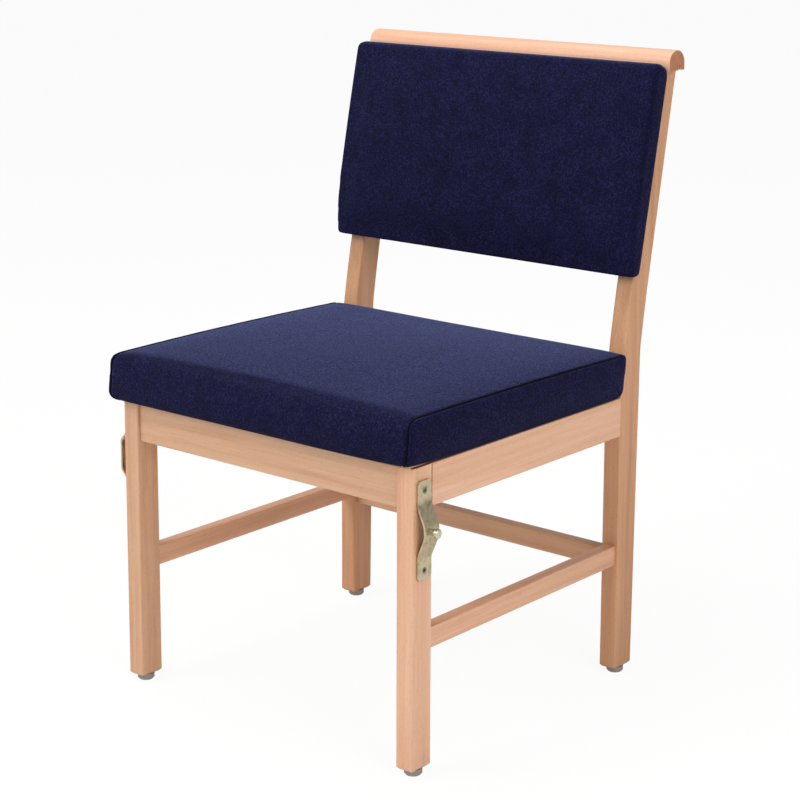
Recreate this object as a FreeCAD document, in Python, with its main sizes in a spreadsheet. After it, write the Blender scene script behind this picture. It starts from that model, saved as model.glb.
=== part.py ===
"""Choir chair: beech frame, upholstered seat and back pads, steel link brackets on the front legs.

Frame: millimetres, +Z up, the sitter looks along -Y and +X is the sitter's left.
The origin is on the floor, in the middle of the chair's plan.
"""
import FreeCAD
import Part
import Sketcher
import os
import re
from math import atan2, cos, pi, sin

doc = FreeCAD.newDocument("ChoirChair")
sheet = doc.addObject("Spreadsheet::Sheet", "Sizes")

# Driving sizes, all in millimetres
SIZES = [
    ("frame_width", 480, "outside of one leg to outside of the other"),
    ("front_setback", 256, "from the origin forward to the front legs' front faces"),
    ("leg_span", 419, "front legs' front faces to back legs' front faces"),
    ("leg_width", 25, "all four legs, seen from the front"),
    ("front_leg_depth", 35, "front legs, seen from the side"),
    ("foot_height", 8, "floor to the ends of the legs"),
    ("foot_chamfer", 3.5, "bevel round the ends of the legs"),
    ("leg_arris", 2.2, "rounding of the legs' long edges"),
    ("arris", 1.2, "rounding of the rails' and stretchers' long edges"),
    ("seat_frame_top", 378, "floor to the top of the seat rails and front legs"),
    ("back_foot_depth", 37, "back legs at the floor"),
    ("back_seat_depth", 43.5, "back legs at the seat, where they start to lean"),
    ("seat_bend_front", 385, "height where a back leg's front face starts to lean"),
    ("seat_bend_rear", 428, "height where a back leg's rear face starts to lean"),
    ("seat_bend_round", 120, "radius of that bend"),
    ("back_bend_height", 545, "height where the uprights lean further"),
    ("lower_lean_ratio", 0.1625, "how far the uprights lean back per height, below that"),
    ("back_bend_depth", 36.5, "depth of an upright there"),
    ("upright_top", 793, "floor to the top of the uprights"),
    ("upper_lean_ratio", 0.2157, "how far they lean back per height, above that"),
    ("upright_top_depth", 31.5, "depth of an upright at its top"),
    ("rail_height", 52, "seat rails"),
    ("rail_thickness", 20, "seat rails"),
    ("rail_round", 3, "lower outer edge of the front and side rails"),
    ("front_rail_setback", 4.5, "front rail behind the front legs' faces"),
    ("back_rail_setback", 11, "back rail behind the back legs' faces"),
    ("stretcher_height", 26, "depth of a stretcher, up and down"),
    ("stretcher_thickness", 17, "stretchers"),
    ("side_stretcher_bottom", 152, "floor to the side stretchers"),
    ("back_stretcher_drop", 9, "back stretcher below the side ones, so that the dowels miss"),
    ("back_stretcher_setback", 8, "back stretcher behind the back legs' faces"),
    ("top_rail_length", 502, "top rail, end to end"),
    ("top_rail_depth", 36, "top rail, front to back"),
    ("top_rail_height", 26, "top rail"),
    ("top_rail_round", 17.5, "its round top"),
    ("top_rail_lead", 3, "top rail in front of the uprights' front faces"),
    ("groove_width", 9, "groove along the underside of the top rail"),
    ("groove_depth", 6, "that groove"),
    ("groove_from_rear", 6, "wall behind that groove"),
    ("dowel_width", 8, "diameter of the dowels"),
    ("dowel_length", 36, "dowels, half in each piece"),
    ("dowel_edge", 10, "lower dowel of a front or back rail above the rail's bottom"),
    ("dowel_pitch", 24, "between the two dowels of a rail"),
    ("dowel_shift", 5.5, "side rail dowels back from the front legs' joints, to miss the link screws"),
    ("dowel_stagger", 11.5, "side rail dowels above the front and back rails' dowels"),
    ("top_dowel_pitch", 11, "between the two dowels at the top of an upright"),
    ("glue_gap", 0.1, "round a dowel, screw or nail"),
    ("hole_end_gap", 1, "past the end of a dowel, screw or nail"),
    ("overrun", 1, "how far a cutting shape runs past the faces that it opens"),
    ("soft_gap", 0.3, "between cloth, foam and what they lie on"),
    ("cloth", 1.2, "thickness of the cover cloth"),
    ("block_reach", 60, "corner blocks along the rails"),
    ("block_height", 34, "corner blocks"),
    ("block_gap", 0.5, "corner blocks to the legs"),
    ("board_thickness", 9, "plywood of the seat and the back"),
    ("board_inset", 12, "seat board inside the seat cushion's edge"),
    ("board_window", 32, "turned-under cloth on the seat board's underside"),
    ("seat_half_width", 250, "seat cushion, middle of the chair to its fullest side"),
    ("seat_front_reach", 20.5, "seat cushion in front of the front legs"),
    ("seat_rear_gap", 3, "seat cushion to the back legs"),
    ("seat_side_height", 62, "seat cushion, underside to the seam along its sides"),
    ("seat_crown", 7, "middle of the seat above that seam"),
    ("seat_tuck", 3, "how far the cushion's sides are drawn in at top and bottom"),
    ("seat_front_lean", 10, "how far the front face leans back to its rounded top"),
    ("seat_front_roll", 35, "rounded front edge, front to back"),
    ("seat_rear_lean", 8, "how far the rear face leans back, like the uprights"),
    ("seat_corner", 6, "corners of the seat cushion in plan"),
    ("pad_end_gap", 1, "back cushion inside the ends of the top rail"),
    ("pad_height", 273.5, "back cushion, along the uprights"),
    ("pad_drop", 14, "back cushion below the uprights' upper bend"),
    ("pad_depth", 29, "back cushion at its edges"),
    ("pad_crown", 5, "middle of the back cushion in front of its edges"),
    ("pad_tuck", 3, "how far the back cushion's edges are drawn in"),
    ("pad_top_round", 12, "how far below its top the back cushion starts to round over"),
    ("pad_corner", 9, "corners of the back cushion, seen from the front"),
    ("pad_low_depth", 19, "back cushion at its bottom"),
    ("pad_taper_height", 95, "the height over which it thins"),
    ("panel_inset", 9, "back panel inside the back cushion's edge"),
    ("screw_width", 4, "diameter of the wood screws"),
    ("screw_head", 8, "diameter of their countersunk heads"),
    ("screw_head_height", 2.4, "those heads"),
    ("screw_tip", 4, "their points"),
    ("block_screw_length", 40, "screws from the corner blocks into the rails"),
    ("block_screw_grip", 15, "how far a corner block's screw goes into the rail"),
    ("block_screw_spread", 12, "between a corner block's two screws, up and down"),
    ("seat_screw_sink", 1, "seat board screws' heads above the corner blocks' undersides"),
    ("seat_screw_length", 41, "screws up through the corner blocks into the seat board"),
    ("back_screw_length", 40, "screws through the uprights into the back panel"),
    ("back_screw_low", 70, "lower back screws above the uprights' upper bend"),
    ("back_screw_pitch", 130, "between the two back screws of an upright"),
    ("link_screw_length", 20, "screws of the link brackets"),
    ("recess_width", 1.1, "arms of the cross recess"),
    ("recess_reach", 4.6, "across the cross recess"),
    ("recess_depth", 1.6, "depth of the cross recess"),
    ("glide_width", 22, "diameter of the glides"),
    ("glide_sole", 18, "diameter of their flat sole"),
    ("glide_edge", 2.2, "height of the slope round the sole"),
    ("nail_width", 3, "diameter of the glides' nails"),
    ("nail_head", 8, "diameter of their heads"),
    ("nail_head_height", 1.2, "those heads"),
    ("nail_recess", 2.2, "depth of the well that holds the nail's head"),
    ("nail_length", 22, "the nails, under the head"),
    ("strap_width", 25, "link brackets"),
    ("strap_thickness", 2.5, "link brackets"),
    ("strap_length", 120, "link brackets, end to end"),
    ("strap_height", 302, "floor to the middle of the link brackets"),
    ("strap_middle", 18.5, "link brackets' middle behind the front legs' front faces"),
    ("strap_screw_pitch", 96, "between the screws of a link bracket"),
    ("strap_end_round", 6, "rounded ends of a link bracket"),
    ("bow_reach", 11.5, "how far a link bracket bows away from the leg"),
    ("bow_length", 64, "length of the bow where it leaves the leg"),
    ("stud_bow_flat", 13, "flat length at the top of the bow that carries the stud"),
    ("slot_bow_flat", 38, "flat length at the top of the bow with the slot"),
    ("stud_bow_round", 22, "radius of the bends of the bow that carries the stud"),
    ("slot_bow_round", 7, "radius of the bends of the bow with the slot"),
    ("stud_width", 8, "diameter of the link stud's shank"),
    ("stud_reach", 5.5, "shank of the stud outside the bow"),
    ("stud_head", 11, "diameter of the stud's head"),
    ("stud_head_height", 4.5, "thickness of the stud's head"),
    ("stud_peen", 11, "diameter of the stud's riveted end inside the bow"),
    ("stud_peen_height", 2, "that riveted end"),
    ("slot_gap", 0.4, "play of a stud in the slot, on the radius"),
    ("slot_entry_gap", 1, "play of a stud's head in the slot's wide end, on the radius"),
    ("slot_drop", 9, "middle of the slot's wide end below its narrow end"),
]
NAMES = [name for name, value, note in SIZES]
for row, (name, value, note) in enumerate(SIZES, start=1):
    sheet.set(f"A{row}", name)
    sheet.set(f"B{row}", str(value))
    sheet.set(f"C{row}", note)
    sheet.setAlias(f"B{row}", name)
doc.recompute()

WORD = re.compile(r"\b(" + "|".join(sorted(NAMES, key=len, reverse=True)) + r")\b")


def formula(text):
    """A formula over the driving sizes, as an expression that reads the sheet."""
    return WORD.sub(r"Sizes.\1", str(text))


def value_of(text):
    """The present value of such a formula."""
    result = sheet.evalExpression(formula(text))
    return float(getattr(result, "Value", result))


def bind(obj, prop, text):
    obj.setExpression(prop, formula(text))


def place(obj, x, y, z):
    """Puts an object's own origin at a point given by three formulas."""
    bind(obj, ".Placement.Base.x", x)
    bind(obj, ".Placement.Base.y", y)
    bind(obj, ".Placement.Base.z", z)


def aim(obj, direction):
    """Turns an object so that its own +Z points along a direction."""
    turn = FreeCAD.Rotation(FreeCAD.Vector(0, 0, 1), FreeCAD.Vector(*direction))
    obj.Placement = FreeCAD.Placement(FreeCAD.Vector(0, 0, 0), turn)


# Heights, places and angles that several pieces share
RAIL_BOTTOM = "(seat_frame_top - rail_height)"
FRONT = "(-front_setback)"
BACK = "(leg_span - front_setback)"
FRONT_LEG_REAR = "(front_leg_depth - front_setback)"
LEG_INSIDE = "(frame_width / 2 - leg_width)"
LEG_CENTRE = "(frame_width / 2 - leg_width / 2)"
RAKE = "atan(upper_lean_ratio)"
PAD_HALF = "(top_rail_length / 2 - pad_end_gap)"
BEND_REACH = "((back_bend_height - seat_bend_front) * lower_lean_ratio)"
TOP_REACH = f"({BEND_REACH} + (upright_top - back_bend_height) * upper_lean_ratio)"
LEFT = 1
RIGHT = -1
SIDES = [("left", LEFT), ("right", RIGHT)]


def plane_of(body, role):
    for feature in body.Origin.OriginFeatures:
        if feature.Role == role:
            return feature


def new_body(name):
    return doc.addObject("PartDesign::Body", name)


def new_sketch(body, name, role, offset=None):
    """A sketch on one of the body's own planes, moved along the plane's normal by a formula."""
    sketch = body.newObject("Sketcher::SketchObject", name)
    sketch.AttachmentSupport = [(plane_of(body, role), "")]
    sketch.MapMode = "FlatFace"
    if offset is not None:
        bind(sketch, ".AttachmentOffset.Base.z", offset)
    return sketch


def hold(sketch, kind, geometry, point, text):
    """Ties a point's distance from the sketch's origin to a formula."""
    if abs(value_of(text)) < 1e-9 and not WORD.search(str(text)):
        axis = -2 if kind == "DistanceX" else -1
        sketch.addConstraint(Sketcher.Constraint("PointOnObject", geometry, point, axis))
        return
    sketch.addConstraint(Sketcher.Constraint(kind, -1, 1, geometry, point, value_of(text)))
    bind(sketch, f"Constraints[{sketch.ConstraintCount - 1}]", text)


def outline(body, name, role, corners, offset=None):
    """A closed outline of straight lines through corners, each a pair of formulas."""
    sketch = new_sketch(body, name, role, offset)
    points = [FreeCAD.Vector(value_of(u), value_of(v), 0) for u, v in corners]
    count = len(points)
    for index in range(count):
        sketch.addGeometry(Part.LineSegment(points[index], points[(index + 1) % count]), False)
    for index in range(count):
        sketch.addConstraint(Sketcher.Constraint("Coincident", index, 2, (index + 1) % count, 1))
    for index, (u, v) in enumerate(corners):
        hold(sketch, "DistanceX", index, 1, u)
        hold(sketch, "DistanceY", index, 1, v)
    return sketch


def pad(body, name, sketch, length, middle=False, back=False):
    feature = body.newObject("PartDesign::Pad", name)
    feature.Profile = sketch
    feature.Midplane = middle
    feature.Reversed = back
    bind(feature, "Length", length)
    feature.recompute(True)
    return feature


def turned(body, name, sketch):
    """A full turn of an outline about the sketch's vertical axis."""
    feature = body.newObject("PartDesign::Revolution", name)
    feature.Profile = sketch
    feature.ReferenceAxis = (sketch, ["V_Axis"])
    feature.Angle = 360
    feature.recompute(True)
    return feature


def edges_where(feature, wanted):
    """Names of the edges whose middle point and direction pass a test."""
    names = []
    for number, edge in enumerate(feature.Shape.Edges, start=1):
        middle = edge.valueAt((edge.FirstParameter + edge.LastParameter) / 2)
        along = edge.tangentAt((edge.FirstParameter + edge.LastParameter) / 2)
        if wanted(middle, along):
            names.append(f"Edge{number}")
    return names


def round_edges(body, name, feature, radius, wanted):
    rounded = body.newObject("PartDesign::Fillet", name)
    rounded.Base = (feature, edges_where(feature, wanted))
    bind(rounded, "Radius", radius)
    rounded.recompute(True)
    return rounded


def bevel_foot(body, name, feature):
    """The bevel round the end of a leg."""
    bevelled = body.newObject("PartDesign::Chamfer", name)
    bevelled.Base = (feature, edges_where(feature, lambda m, a: m.z < 1e-6))
    bind(bevelled, "Size", "foot_chamfer")
    bevelled.recompute(True)
    return bevelled


def block(name, sizes, corner):
    """A plain box from its three sizes and its low corner."""
    solid = doc.addObject("Part::Box", name)
    bind(solid, "Length", sizes[0])
    bind(solid, "Width", sizes[1])
    bind(solid, "Height", sizes[2])
    place(solid, *corner)
    return solid


AXES = {"X": (1, 0, 0), "Y": (0, 1, 0), "Z": (0, 0, 1)}


def rod(name, axis, radius, length, middle):
    """A plain cylinder along an axis, centred on a point given by three formulas."""
    solid = doc.addObject("Part::Cylinder", name)
    bind(solid, "Radius", radius)
    bind(solid, "Height", length)
    aim(solid, AXES[axis])
    start = list(middle)
    index = "XYZ".index(axis)
    start[index] = f"{middle[index]} - ({length}) / 2"
    place(solid, *start)
    return solid


def group(name, members):
    """Several solids kept as one object."""
    gathered = doc.addObject("Part::Compound", name)
    gathered.Links = members
    return gathered


def cut(name, base, tools):
    """A piece less its holes."""
    tool = tools[0]
    if len(tools) > 1:
        tool = doc.addObject("Part::MultiFuse", name + "_holes")
        tool.Shapes = tools
    result = doc.addObject("Part::Cut", name)
    result.Base = base
    result.Tool = tool
    return result


nodes = []


def node(name, obj, corner=None):
    """Names a finished piece and puts it in its place in the chair."""
    obj.Label = name
    if corner is not None:
        place(obj, *corner)
    nodes.append(obj)
    return obj


# Joints of the frame: each is a dowel's axis and the point midway along it, in the chair's frame
def rail_joints(side, place_y, axis, lift):
    """The two dowels at one end of a seat rail."""
    found = []
    for step in (0, 1):
        height = f"({RAIL_BOTTOM} + dowel_edge + {step} * dowel_pitch + {lift})"
        if axis == "X":
            found.append(("X", (f"{side} * {LEG_INSIDE}", place_y, height)))
        else:
            found.append(("Y", (f"{side} * (frame_width / 2 - rail_thickness / 2)", place_y, height)))
    return found


FRONT_RAIL_MIDDLE = f"({FRONT} + front_rail_setback + rail_thickness / 2)"
BACK_RAIL_MIDDLE = f"({BACK} + back_rail_setback + rail_thickness / 2)"
SIDE_STRETCHER_MIDDLE = "(side_stretcher_bottom + stretcher_height / 2)"
BACK_STRETCHER_MIDDLE = f"({SIDE_STRETCHER_MIDDLE} - back_stretcher_drop)"
BACK_STRETCHER_PLACE = f"({BACK} + back_stretcher_setback + stretcher_thickness / 2)"
TOP_DOWEL_PLACE = f"({BACK} + {TOP_REACH} + top_dowel_pitch)"

front_rail_joints = {side: rail_joints(side, FRONT_RAIL_MIDDLE, "X", "0") for _, side in SIDES}
back_rail_joints = {side: rail_joints(side, BACK_RAIL_MIDDLE, "X", "0") for _, side in SIDES}
SIDE_FRONT_JOINT = f"({FRONT_LEG_REAR} + dowel_shift)"
side_front_joints = {side: rail_joints(side, SIDE_FRONT_JOINT, "Y", "dowel_stagger") for _, side in SIDES}
side_back_joints = {side: rail_joints(side, BACK, "Y", "dowel_stagger") for _, side in SIDES}
stretcher_front_joints = {
    side: [("Y", (f"{side} * {LEG_CENTRE}", FRONT_LEG_REAR, SIDE_STRETCHER_MIDDLE))] for _, side in SIDES
}
stretcher_back_joints = {
    side: [("Y", (f"{side} * {LEG_CENTRE}", BACK, SIDE_STRETCHER_MIDDLE))] for _, side in SIDES
}
back_stretcher_joints = {
    side: [("X", (f"{side} * {LEG_INSIDE}", BACK_STRETCHER_PLACE, BACK_STRETCHER_MIDDLE))]
    for _, side in SIDES
}
top_joints = {
    side: [
        ("Z", (f"{side} * {LEG_CENTRE} + {step} * top_dowel_pitch / 2", TOP_DOWEL_PLACE, "upright_top"))
        for step in (-1, 1)
    ]
    for _, side in SIDES
}


def dowels(name, families):
    """The dowels of some families of joints, as separate solids in one piece."""
    joints = []
    for family in families:
        joints = joints + family[LEFT] + family[RIGHT]
    solids = []
    for number, (axis, middle) in enumerate(joints):
        solids.append(rod(f"{name}_{number}", axis, "dowel_width / 2", "dowel_length", middle))
    return node(name, group(name, solids))


def from_corner(middle, corner):
    return [f"({m}) - ({c})" for m, c in zip(middle, corner)]


def dowel_holes(name, joints, corner):
    """The holes for the dowels of some joints, in the own frame of a piece placed at corner."""
    holes = []
    for number, (axis, middle) in enumerate(joints):
        local = from_corner(middle, corner)
        radius = "dowel_width / 2 + glue_gap"
        holes.append(rod(f"{name}_hole_{number}", axis, radius, "dowel_length + 2 * hole_end_gap", local))
    return holes


def front_legs():
    for word, side in SIDES:
        name = f"front_leg_{word}"
        corner = (f"{side} * {LEG_CENTRE}", FRONT, "foot_height")
        body = new_body(name + "_wood")
        half, depth = "leg_width / 2", "front_leg_depth"
        section = [(f"-{half}", "0"), (half, "0"), (half, depth), (f"-{half}", depth)]
        sketch = outline(body, name + "_section", "XY_Plane", section)
        wood = pad(body, name + "_length", sketch, "seat_frame_top - foot_height")
        wood = bevel_foot(body, name + "_foot", wood)
        round_edges(body, name + "_arrises", wood, "leg_arris", lambda m, a: abs(a.z) > 0.99)
        joints = front_rail_joints[side] + side_front_joints[side] + stretcher_front_joints[side]
        holes = dowel_holes(name, joints, corner)
        holes.append(nail_hole(name, "front_leg_depth / 2"))
        holes.extend(link_screw_holes(name, side, corner))
        node(name, cut(name, body, holes), corner)


def nail_hole(name, place_y):
    """The hole in the end of a leg for its glide's nail."""
    depth = "(nail_recess + nail_length - foot_height + hole_end_gap)"
    return rod(name + "_nail_hole", "Z", "nail_width / 2 + glue_gap", depth, ("0", place_y, f"{depth} / 2"))


def link_screw_holes(name, side, corner):
    """The pilot holes for a link bracket's screws, from the leg's outer face."""
    holes = []
    depth = "(link_screw_length - strap_thickness + hole_end_gap)"
    for number, up in enumerate((-1, 1)):
        middle = (
            f"{side} * (frame_width / 2 - {depth} / 2)",
            f"{FRONT} + strap_middle",
            f"strap_height + {up} * strap_screw_pitch / 2",
        )
        local = from_corner(middle, corner)
        holes.append(rod(f"{name}_screw_hole_{number}", "X", "screw_width / 2 + glue_gap", depth, local))
    return holes


# The two back screws of an upright, as heights above its upper bend, along the lean
BACK_SCREW_STEPS = [(0, "back_screw_low"), (1, "(back_screw_low + back_screw_pitch)")]
# How far an upright's rear face is behind its front face, square to the front face, at a back screw
TAPER = "(back_bend_depth - upright_top_depth) / (upright_top - back_bend_height)"


def upright_depth(up):
    """The depth of an upright along a back screw that is a length up the lean."""
    return f"((back_bend_depth - {TAPER} * {up} * cos({RAKE})) * cos({RAKE}))"


def lean_point(up, behind):
    """A point a length up the lean from the upper bend and a length behind the front face."""
    y = f"{BACK} + {BEND_REACH} + {up} * sin({RAKE}) + ({behind}) * cos({RAKE})"
    z = f"back_bend_height + {up} * cos({RAKE}) - ({behind}) * sin({RAKE})"
    return y, z


def lean(obj, x, up, start, corner=("0", "0", "0")):
    """Points an object's +Z forward, square to the uprights' front faces, from start behind them."""
    y, z = lean_point(up, start)
    obj.Placement = FreeCAD.Placement(FreeCAD.Vector(), FreeCAD.Rotation(FreeCAD.Vector(1, 0, 0), 90))
    bind(obj, ".Placement.Rotation.Angle", f"90 deg - {RAKE}")
    place(obj, x, f"{y} - ({corner[1]})", f"{z} - ({corner[2]})")


def bend_guess(low, low_angle, high, high_angle, radius):
    """Two arcs from low to high: one of the given radius, then one that meets the upper line."""
    vector = FreeCAD.Vector
    least, most = low_angle, high_angle
    for _ in range(60):
        angle = (least + most) / 2
        centre = vector(low.x + radius * cos(low_angle), low.y - radius * sin(low_angle), 0)
        middle = vector(centre.x - radius * cos(angle), centre.y + radius * sin(angle), 0)
        chord = atan2(high.x - middle.x, high.y - middle.y)
        if 2 * chord - high_angle > angle:
            least = angle
        else:
            most = angle
    first = Part.ArcOfCircle(Part.Circle(centre, vector(0, 0, 1), radius), pi - angle, pi - low_angle)
    wide = (high - middle).Length / 2 / sin((high_angle - angle) / 2)
    centre = vector(high.x + wide * cos(high_angle), high.y - wide * sin(high_angle), 0)
    second = Part.ArcOfCircle(Part.Circle(centre, vector(0, 0, 1), wide), pi - high_angle, pi - angle)
    return first, second, middle


def leg_side(body, name):
    """The side view of a back leg: each long edge bends at the seat, then curves into the lean."""
    sketch = new_sketch(body, name, "YZ_Plane")
    corners = [
        ("0", "0"),
        ("back_foot_depth", "0"),
        ("back_seat_depth", "seat_bend_rear - foot_height"),
        (f"{BEND_REACH} + back_bend_depth", "back_bend_height - foot_height"),
        (f"{TOP_REACH} + upright_top_depth", "upright_top - foot_height"),
        (TOP_REACH, "upright_top - foot_height"),
        (BEND_REACH, "back_bend_height - foot_height"),
        ("0", "seat_bend_front - foot_height"),
    ]
    points = [FreeCAD.Vector(value_of(u), value_of(v), 0) for u, v in corners]
    radius = value_of("seat_bend_round")
    slope = lambda a, b: atan2(points[b].x - points[a].x, points[b].y - points[a].y)
    rear = bend_guess(points[2], slope(1, 2), points[3], slope(3, 4), radius)
    front = bend_guess(points[7], 0, points[6], slope(6, 5), radius)
    lines = [(0, 1), (1, 2), (3, 4), (4, 5), (5, 6), (7, 0)]
    for start, end in lines:
        sketch.addGeometry(Part.LineSegment(points[start], points[end]), False)
    for arc in (rear[0], rear[1], front[0], front[1]):
        sketch.addGeometry(arc, False)
    for first, second in ((0, 1), (2, 3), (3, 4), (5, 0)):
        sketch.addConstraint(Sketcher.Constraint("Coincident", first, 2, second, 1))
    # lines 1, 2, 4 and 5 meet the arcs 6 to 9 smoothly; an arc's first point is its upper one
    meetings = [(1, 2, 6, 2), (6, 1, 7, 2), (7, 1, 2, 1), (4, 2, 9, 1), (9, 2, 8, 1), (8, 2, 5, 1)]
    for meeting in meetings:
        sketch.addConstraint(Sketcher.Constraint("Tangent", *meeting))
    held = [(0, 1, 0), (1, 1, 1), (1, 2, 2), (2, 1, 3), (2, 2, 4), (4, 1, 5), (4, 2, 6), (5, 1, 7)]
    for geometry, point, corner in held:
        hold(sketch, "DistanceX", geometry, point, corners[corner][0])
        hold(sketch, "DistanceY", geometry, point, corners[corner][1])
    for arc in (6, 8):
        sketch.addConstraint(Sketcher.Constraint("Radius", arc, radius))
        bind(sketch, f"Constraints[{sketch.ConstraintCount - 1}]", "seat_bend_round")
    return sketch


# Back legs run up to the top rail; their side view gives their shape
def back_legs():
    for word, side in SIDES:
        name = f"back_leg_{word}"
        corner = (f"{side} * {LEG_CENTRE}", BACK, "foot_height")
        body = new_body(name + "_wood")
        wood = pad(body, name + "_width", leg_side(body, name + "_side"), "leg_width", middle=True)
        top = value_of("upright_top - foot_height")
        wood = bevel_foot(body, name + "_foot", wood)
        half = value_of("leg_width / 2")
        chamfer = value_of("foot_chamfer")
        round_edges(
            body, name + "_arrises", wood, "leg_arris",
            lambda m, a: abs(abs(m.x) - half) < 1e-6 and chamfer < m.z < top - 1e-3,
        )
        joints = side_back_joints[side] + stretcher_back_joints[side] + back_stretcher_joints[side]
        joints = joints + back_rail_joints[side] + top_joints[side]
        holes = dowel_holes(name, joints, corner)
        holes.append(nail_hole(name, "back_foot_depth / 2"))
        holes.extend(back_screw_holes(name, corner))
        node(name, cut(name, body, holes), corner)


def back_screw_holes(name, corner):
    """Through holes for the back screws, widened for their heads at the rear face."""
    holes = []
    for number, up in BACK_SCREW_STEPS:
        depth = upright_depth(up)
        cuts = (
            ("hole", "screw_width", f"{depth} + 2 * overrun"),
            ("well", "screw_head", "screw_head_height + overrun"),
        )
        for word, width, length in cuts:
            tool = doc.addObject("Part::Cylinder", f"{name}_back_{word}_{number}")
            bind(tool, "Radius", f"{width} / 2 + glue_gap")
            bind(tool, "Height", length)
            lean(tool, "0", up, f"{depth} + overrun", corner)
            holes.append(tool)
    return holes


def bar(name, axis, sizes, corner, joints, soft=None, extra=()):
    """A straight piece of wood with eased long edges and dowel holes, placed by its low corner.

    soft tells which long edge has the larger rounding, and extra holds further holes.
    """
    body = new_body(name + "_wood")
    width, depth, height = sizes
    if axis == "X":
        section = [("0", "0"), (depth, "0"), (depth, height), ("0", height)]
        wood = pad(body, name + "_length", outline(body, name + "_section", "YZ_Plane", section), width)
        along = lambda a: abs(a.x) > 0.99
    else:
        section = [("0", "0"), (width, "0"), (width, height), ("0", height)]
        sketch = outline(body, name + "_section", "XZ_Plane", section)
        wood = pad(body, name + "_length", sketch, depth, back=True)
        along = lambda a: abs(a.y) > 0.99
    plain = lambda m, a: along(a) and not (soft and soft(m))
    wood = round_edges(body, name + "_arrises", wood, "arris", plain)
    if soft:
        round_edges(body, name + "_low_edge", wood, "rail_round", lambda m, a: along(a) and soft(m))
    holes = dowel_holes(name, joints, corner) + list(extra)
    return node(name, cut(name, body, holes), corner)


# Corner block screws: one into the front or back rail and one into the side rail, at each corner
RAIL_SCREW_ALONG = "(block_reach * 0.6)"
SIDE_SCREW_ALONG = "(block_reach * 0.55)"
BLOCK_TOP = "(seat_frame_top - block_gap)"
BLOCK_MIDDLE = f"({BLOCK_TOP} - block_height / 2)"
ENDS = [("front", -1), ("back", 1)]


def rail_face(end):
    """The y of the inner face of the front or the back rail."""
    if end < 0:
        return f"({FRONT} + front_rail_setback + rail_thickness)"
    return f"({BACK} + back_rail_setback)"


def leg_face(end):
    """The y of the front leg's rear face or the back leg's front face."""
    return FRONT_LEG_REAR if end < 0 else BACK


SIDE_RAIL_INSIDE = "(frame_width / 2 - rail_thickness)"


def block_screws(side, end):
    """Head point and direction of a corner block's two screws into the rails."""
    bite = "(block_screw_length - block_screw_grip)"
    to_rail = (
        f"{side} * ({SIDE_RAIL_INSIDE} - {RAIL_SCREW_ALONG})",
        f"{rail_face(end)} - {end} * {bite}",
        f"{BLOCK_MIDDLE} - block_screw_spread / 2",
        (0, end, 0),
    )
    to_side = (
        f"{side} * ({SIDE_RAIL_INSIDE} - {bite})",
        f"{leg_face(end)} - {end} * {SIDE_SCREW_ALONG}",
        f"{BLOCK_MIDDLE} + block_screw_spread / 2",
        (side, 0, 0),
    )
    return to_rail, to_side


def screw_hole(name, head, length, corner=("0", "0", "0")):
    """A hole that a whole screw fits, with room for its head, from its head point and direction."""
    x, y, z, direction = head
    shank = doc.addObject("Part::Cylinder", name + "_shank")
    bind(shank, "Radius", "screw_width / 2 + glue_gap")
    bind(shank, "Height", f"{length} + hole_end_gap")
    well = doc.addObject("Part::Cylinder", name + "_well")
    bind(well, "Radius", "screw_head / 2 + glue_gap")
    bind(well, "Height", "block_reach")
    for tool, way in ((shank, 1), (well, -1)):
        aim(tool, [way * part for part in direction])
        local = from_corner((x, y, z), corner)
        if tool is well:
            local = [f"{text} + {part} * screw_head_height" for text, part in zip(local, direction)]
        place(tool, *local)
    return [shank, well]


def rails():
    side_length = "(leg_span - front_leg_depth)"
    between = f"(2 * {LEG_INSIDE})"
    for name, end, setback, face, joints in (
        ("front_seat_rail", -1, "front_rail_setback", FRONT, front_rail_joints),
        ("back_seat_rail", 1, "back_rail_setback", BACK, back_rail_joints),
    ):
        corner = (f"-{LEG_INSIDE}", f"{face} + {setback}", RAIL_BOTTOM)
        extra = []
        for word, side in SIDES:
            head = block_screws(side, end)[0]
            hole = screw_hole(f"{name}_{word}", head, "block_screw_length", corner)
            extra.append(hole[0])
        soft = (lambda m: m.z < 1e-6 and m.y < 1e-6) if end < 0 else None
        sizes = (between, "rail_thickness", "rail_height")
        bar(name, "X", sizes, corner, joints[LEFT] + joints[RIGHT], soft, extra)
    for word, side in SIDES:
        name = f"side_seat_rail_{word}"
        low = "frame_width / 2 - rail_thickness" if side > 0 else "-frame_width / 2"
        corner = (low, FRONT_LEG_REAR, RAIL_BOTTOM)
        extra = []
        for end_word, end in ENDS:
            head = block_screws(side, end)[1]
            hole = screw_hole(f"{name}_{end_word}", head, "block_screw_length", corner)
            extra.append(hole[0])
        outer = value_of("rail_thickness") if side > 0 else 0.0
        soft = lambda m, outer=outer: m.z < 1e-6 and abs(m.x - outer) < 1e-6
        sizes = ("rail_thickness", side_length, "rail_height")
        bar(name, "Y", sizes, corner, side_front_joints[side] + side_back_joints[side], soft, extra)


def stretchers():
    for word, side in SIDES:
        low = f"{side} * {LEG_CENTRE} - stretcher_thickness / 2"
        corner = (low, FRONT_LEG_REAR, "side_stretcher_bottom")
        sizes = ("stretcher_thickness", "leg_span - front_leg_depth", "stretcher_height")
        joints = stretcher_front_joints[side] + stretcher_back_joints[side]
        bar(f"side_stretcher_{word}", "Y", sizes, corner, joints)
    bottom = "side_stretcher_bottom - back_stretcher_drop"
    corner = (f"-{LEG_INSIDE}", f"{BACK} + back_stretcher_setback", bottom)
    sizes = (f"2 * {LEG_INSIDE}", "stretcher_thickness", "stretcher_height")
    bar("back_stretcher", "X", sizes, corner, back_stretcher_joints[LEFT] + back_stretcher_joints[RIGHT])


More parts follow.
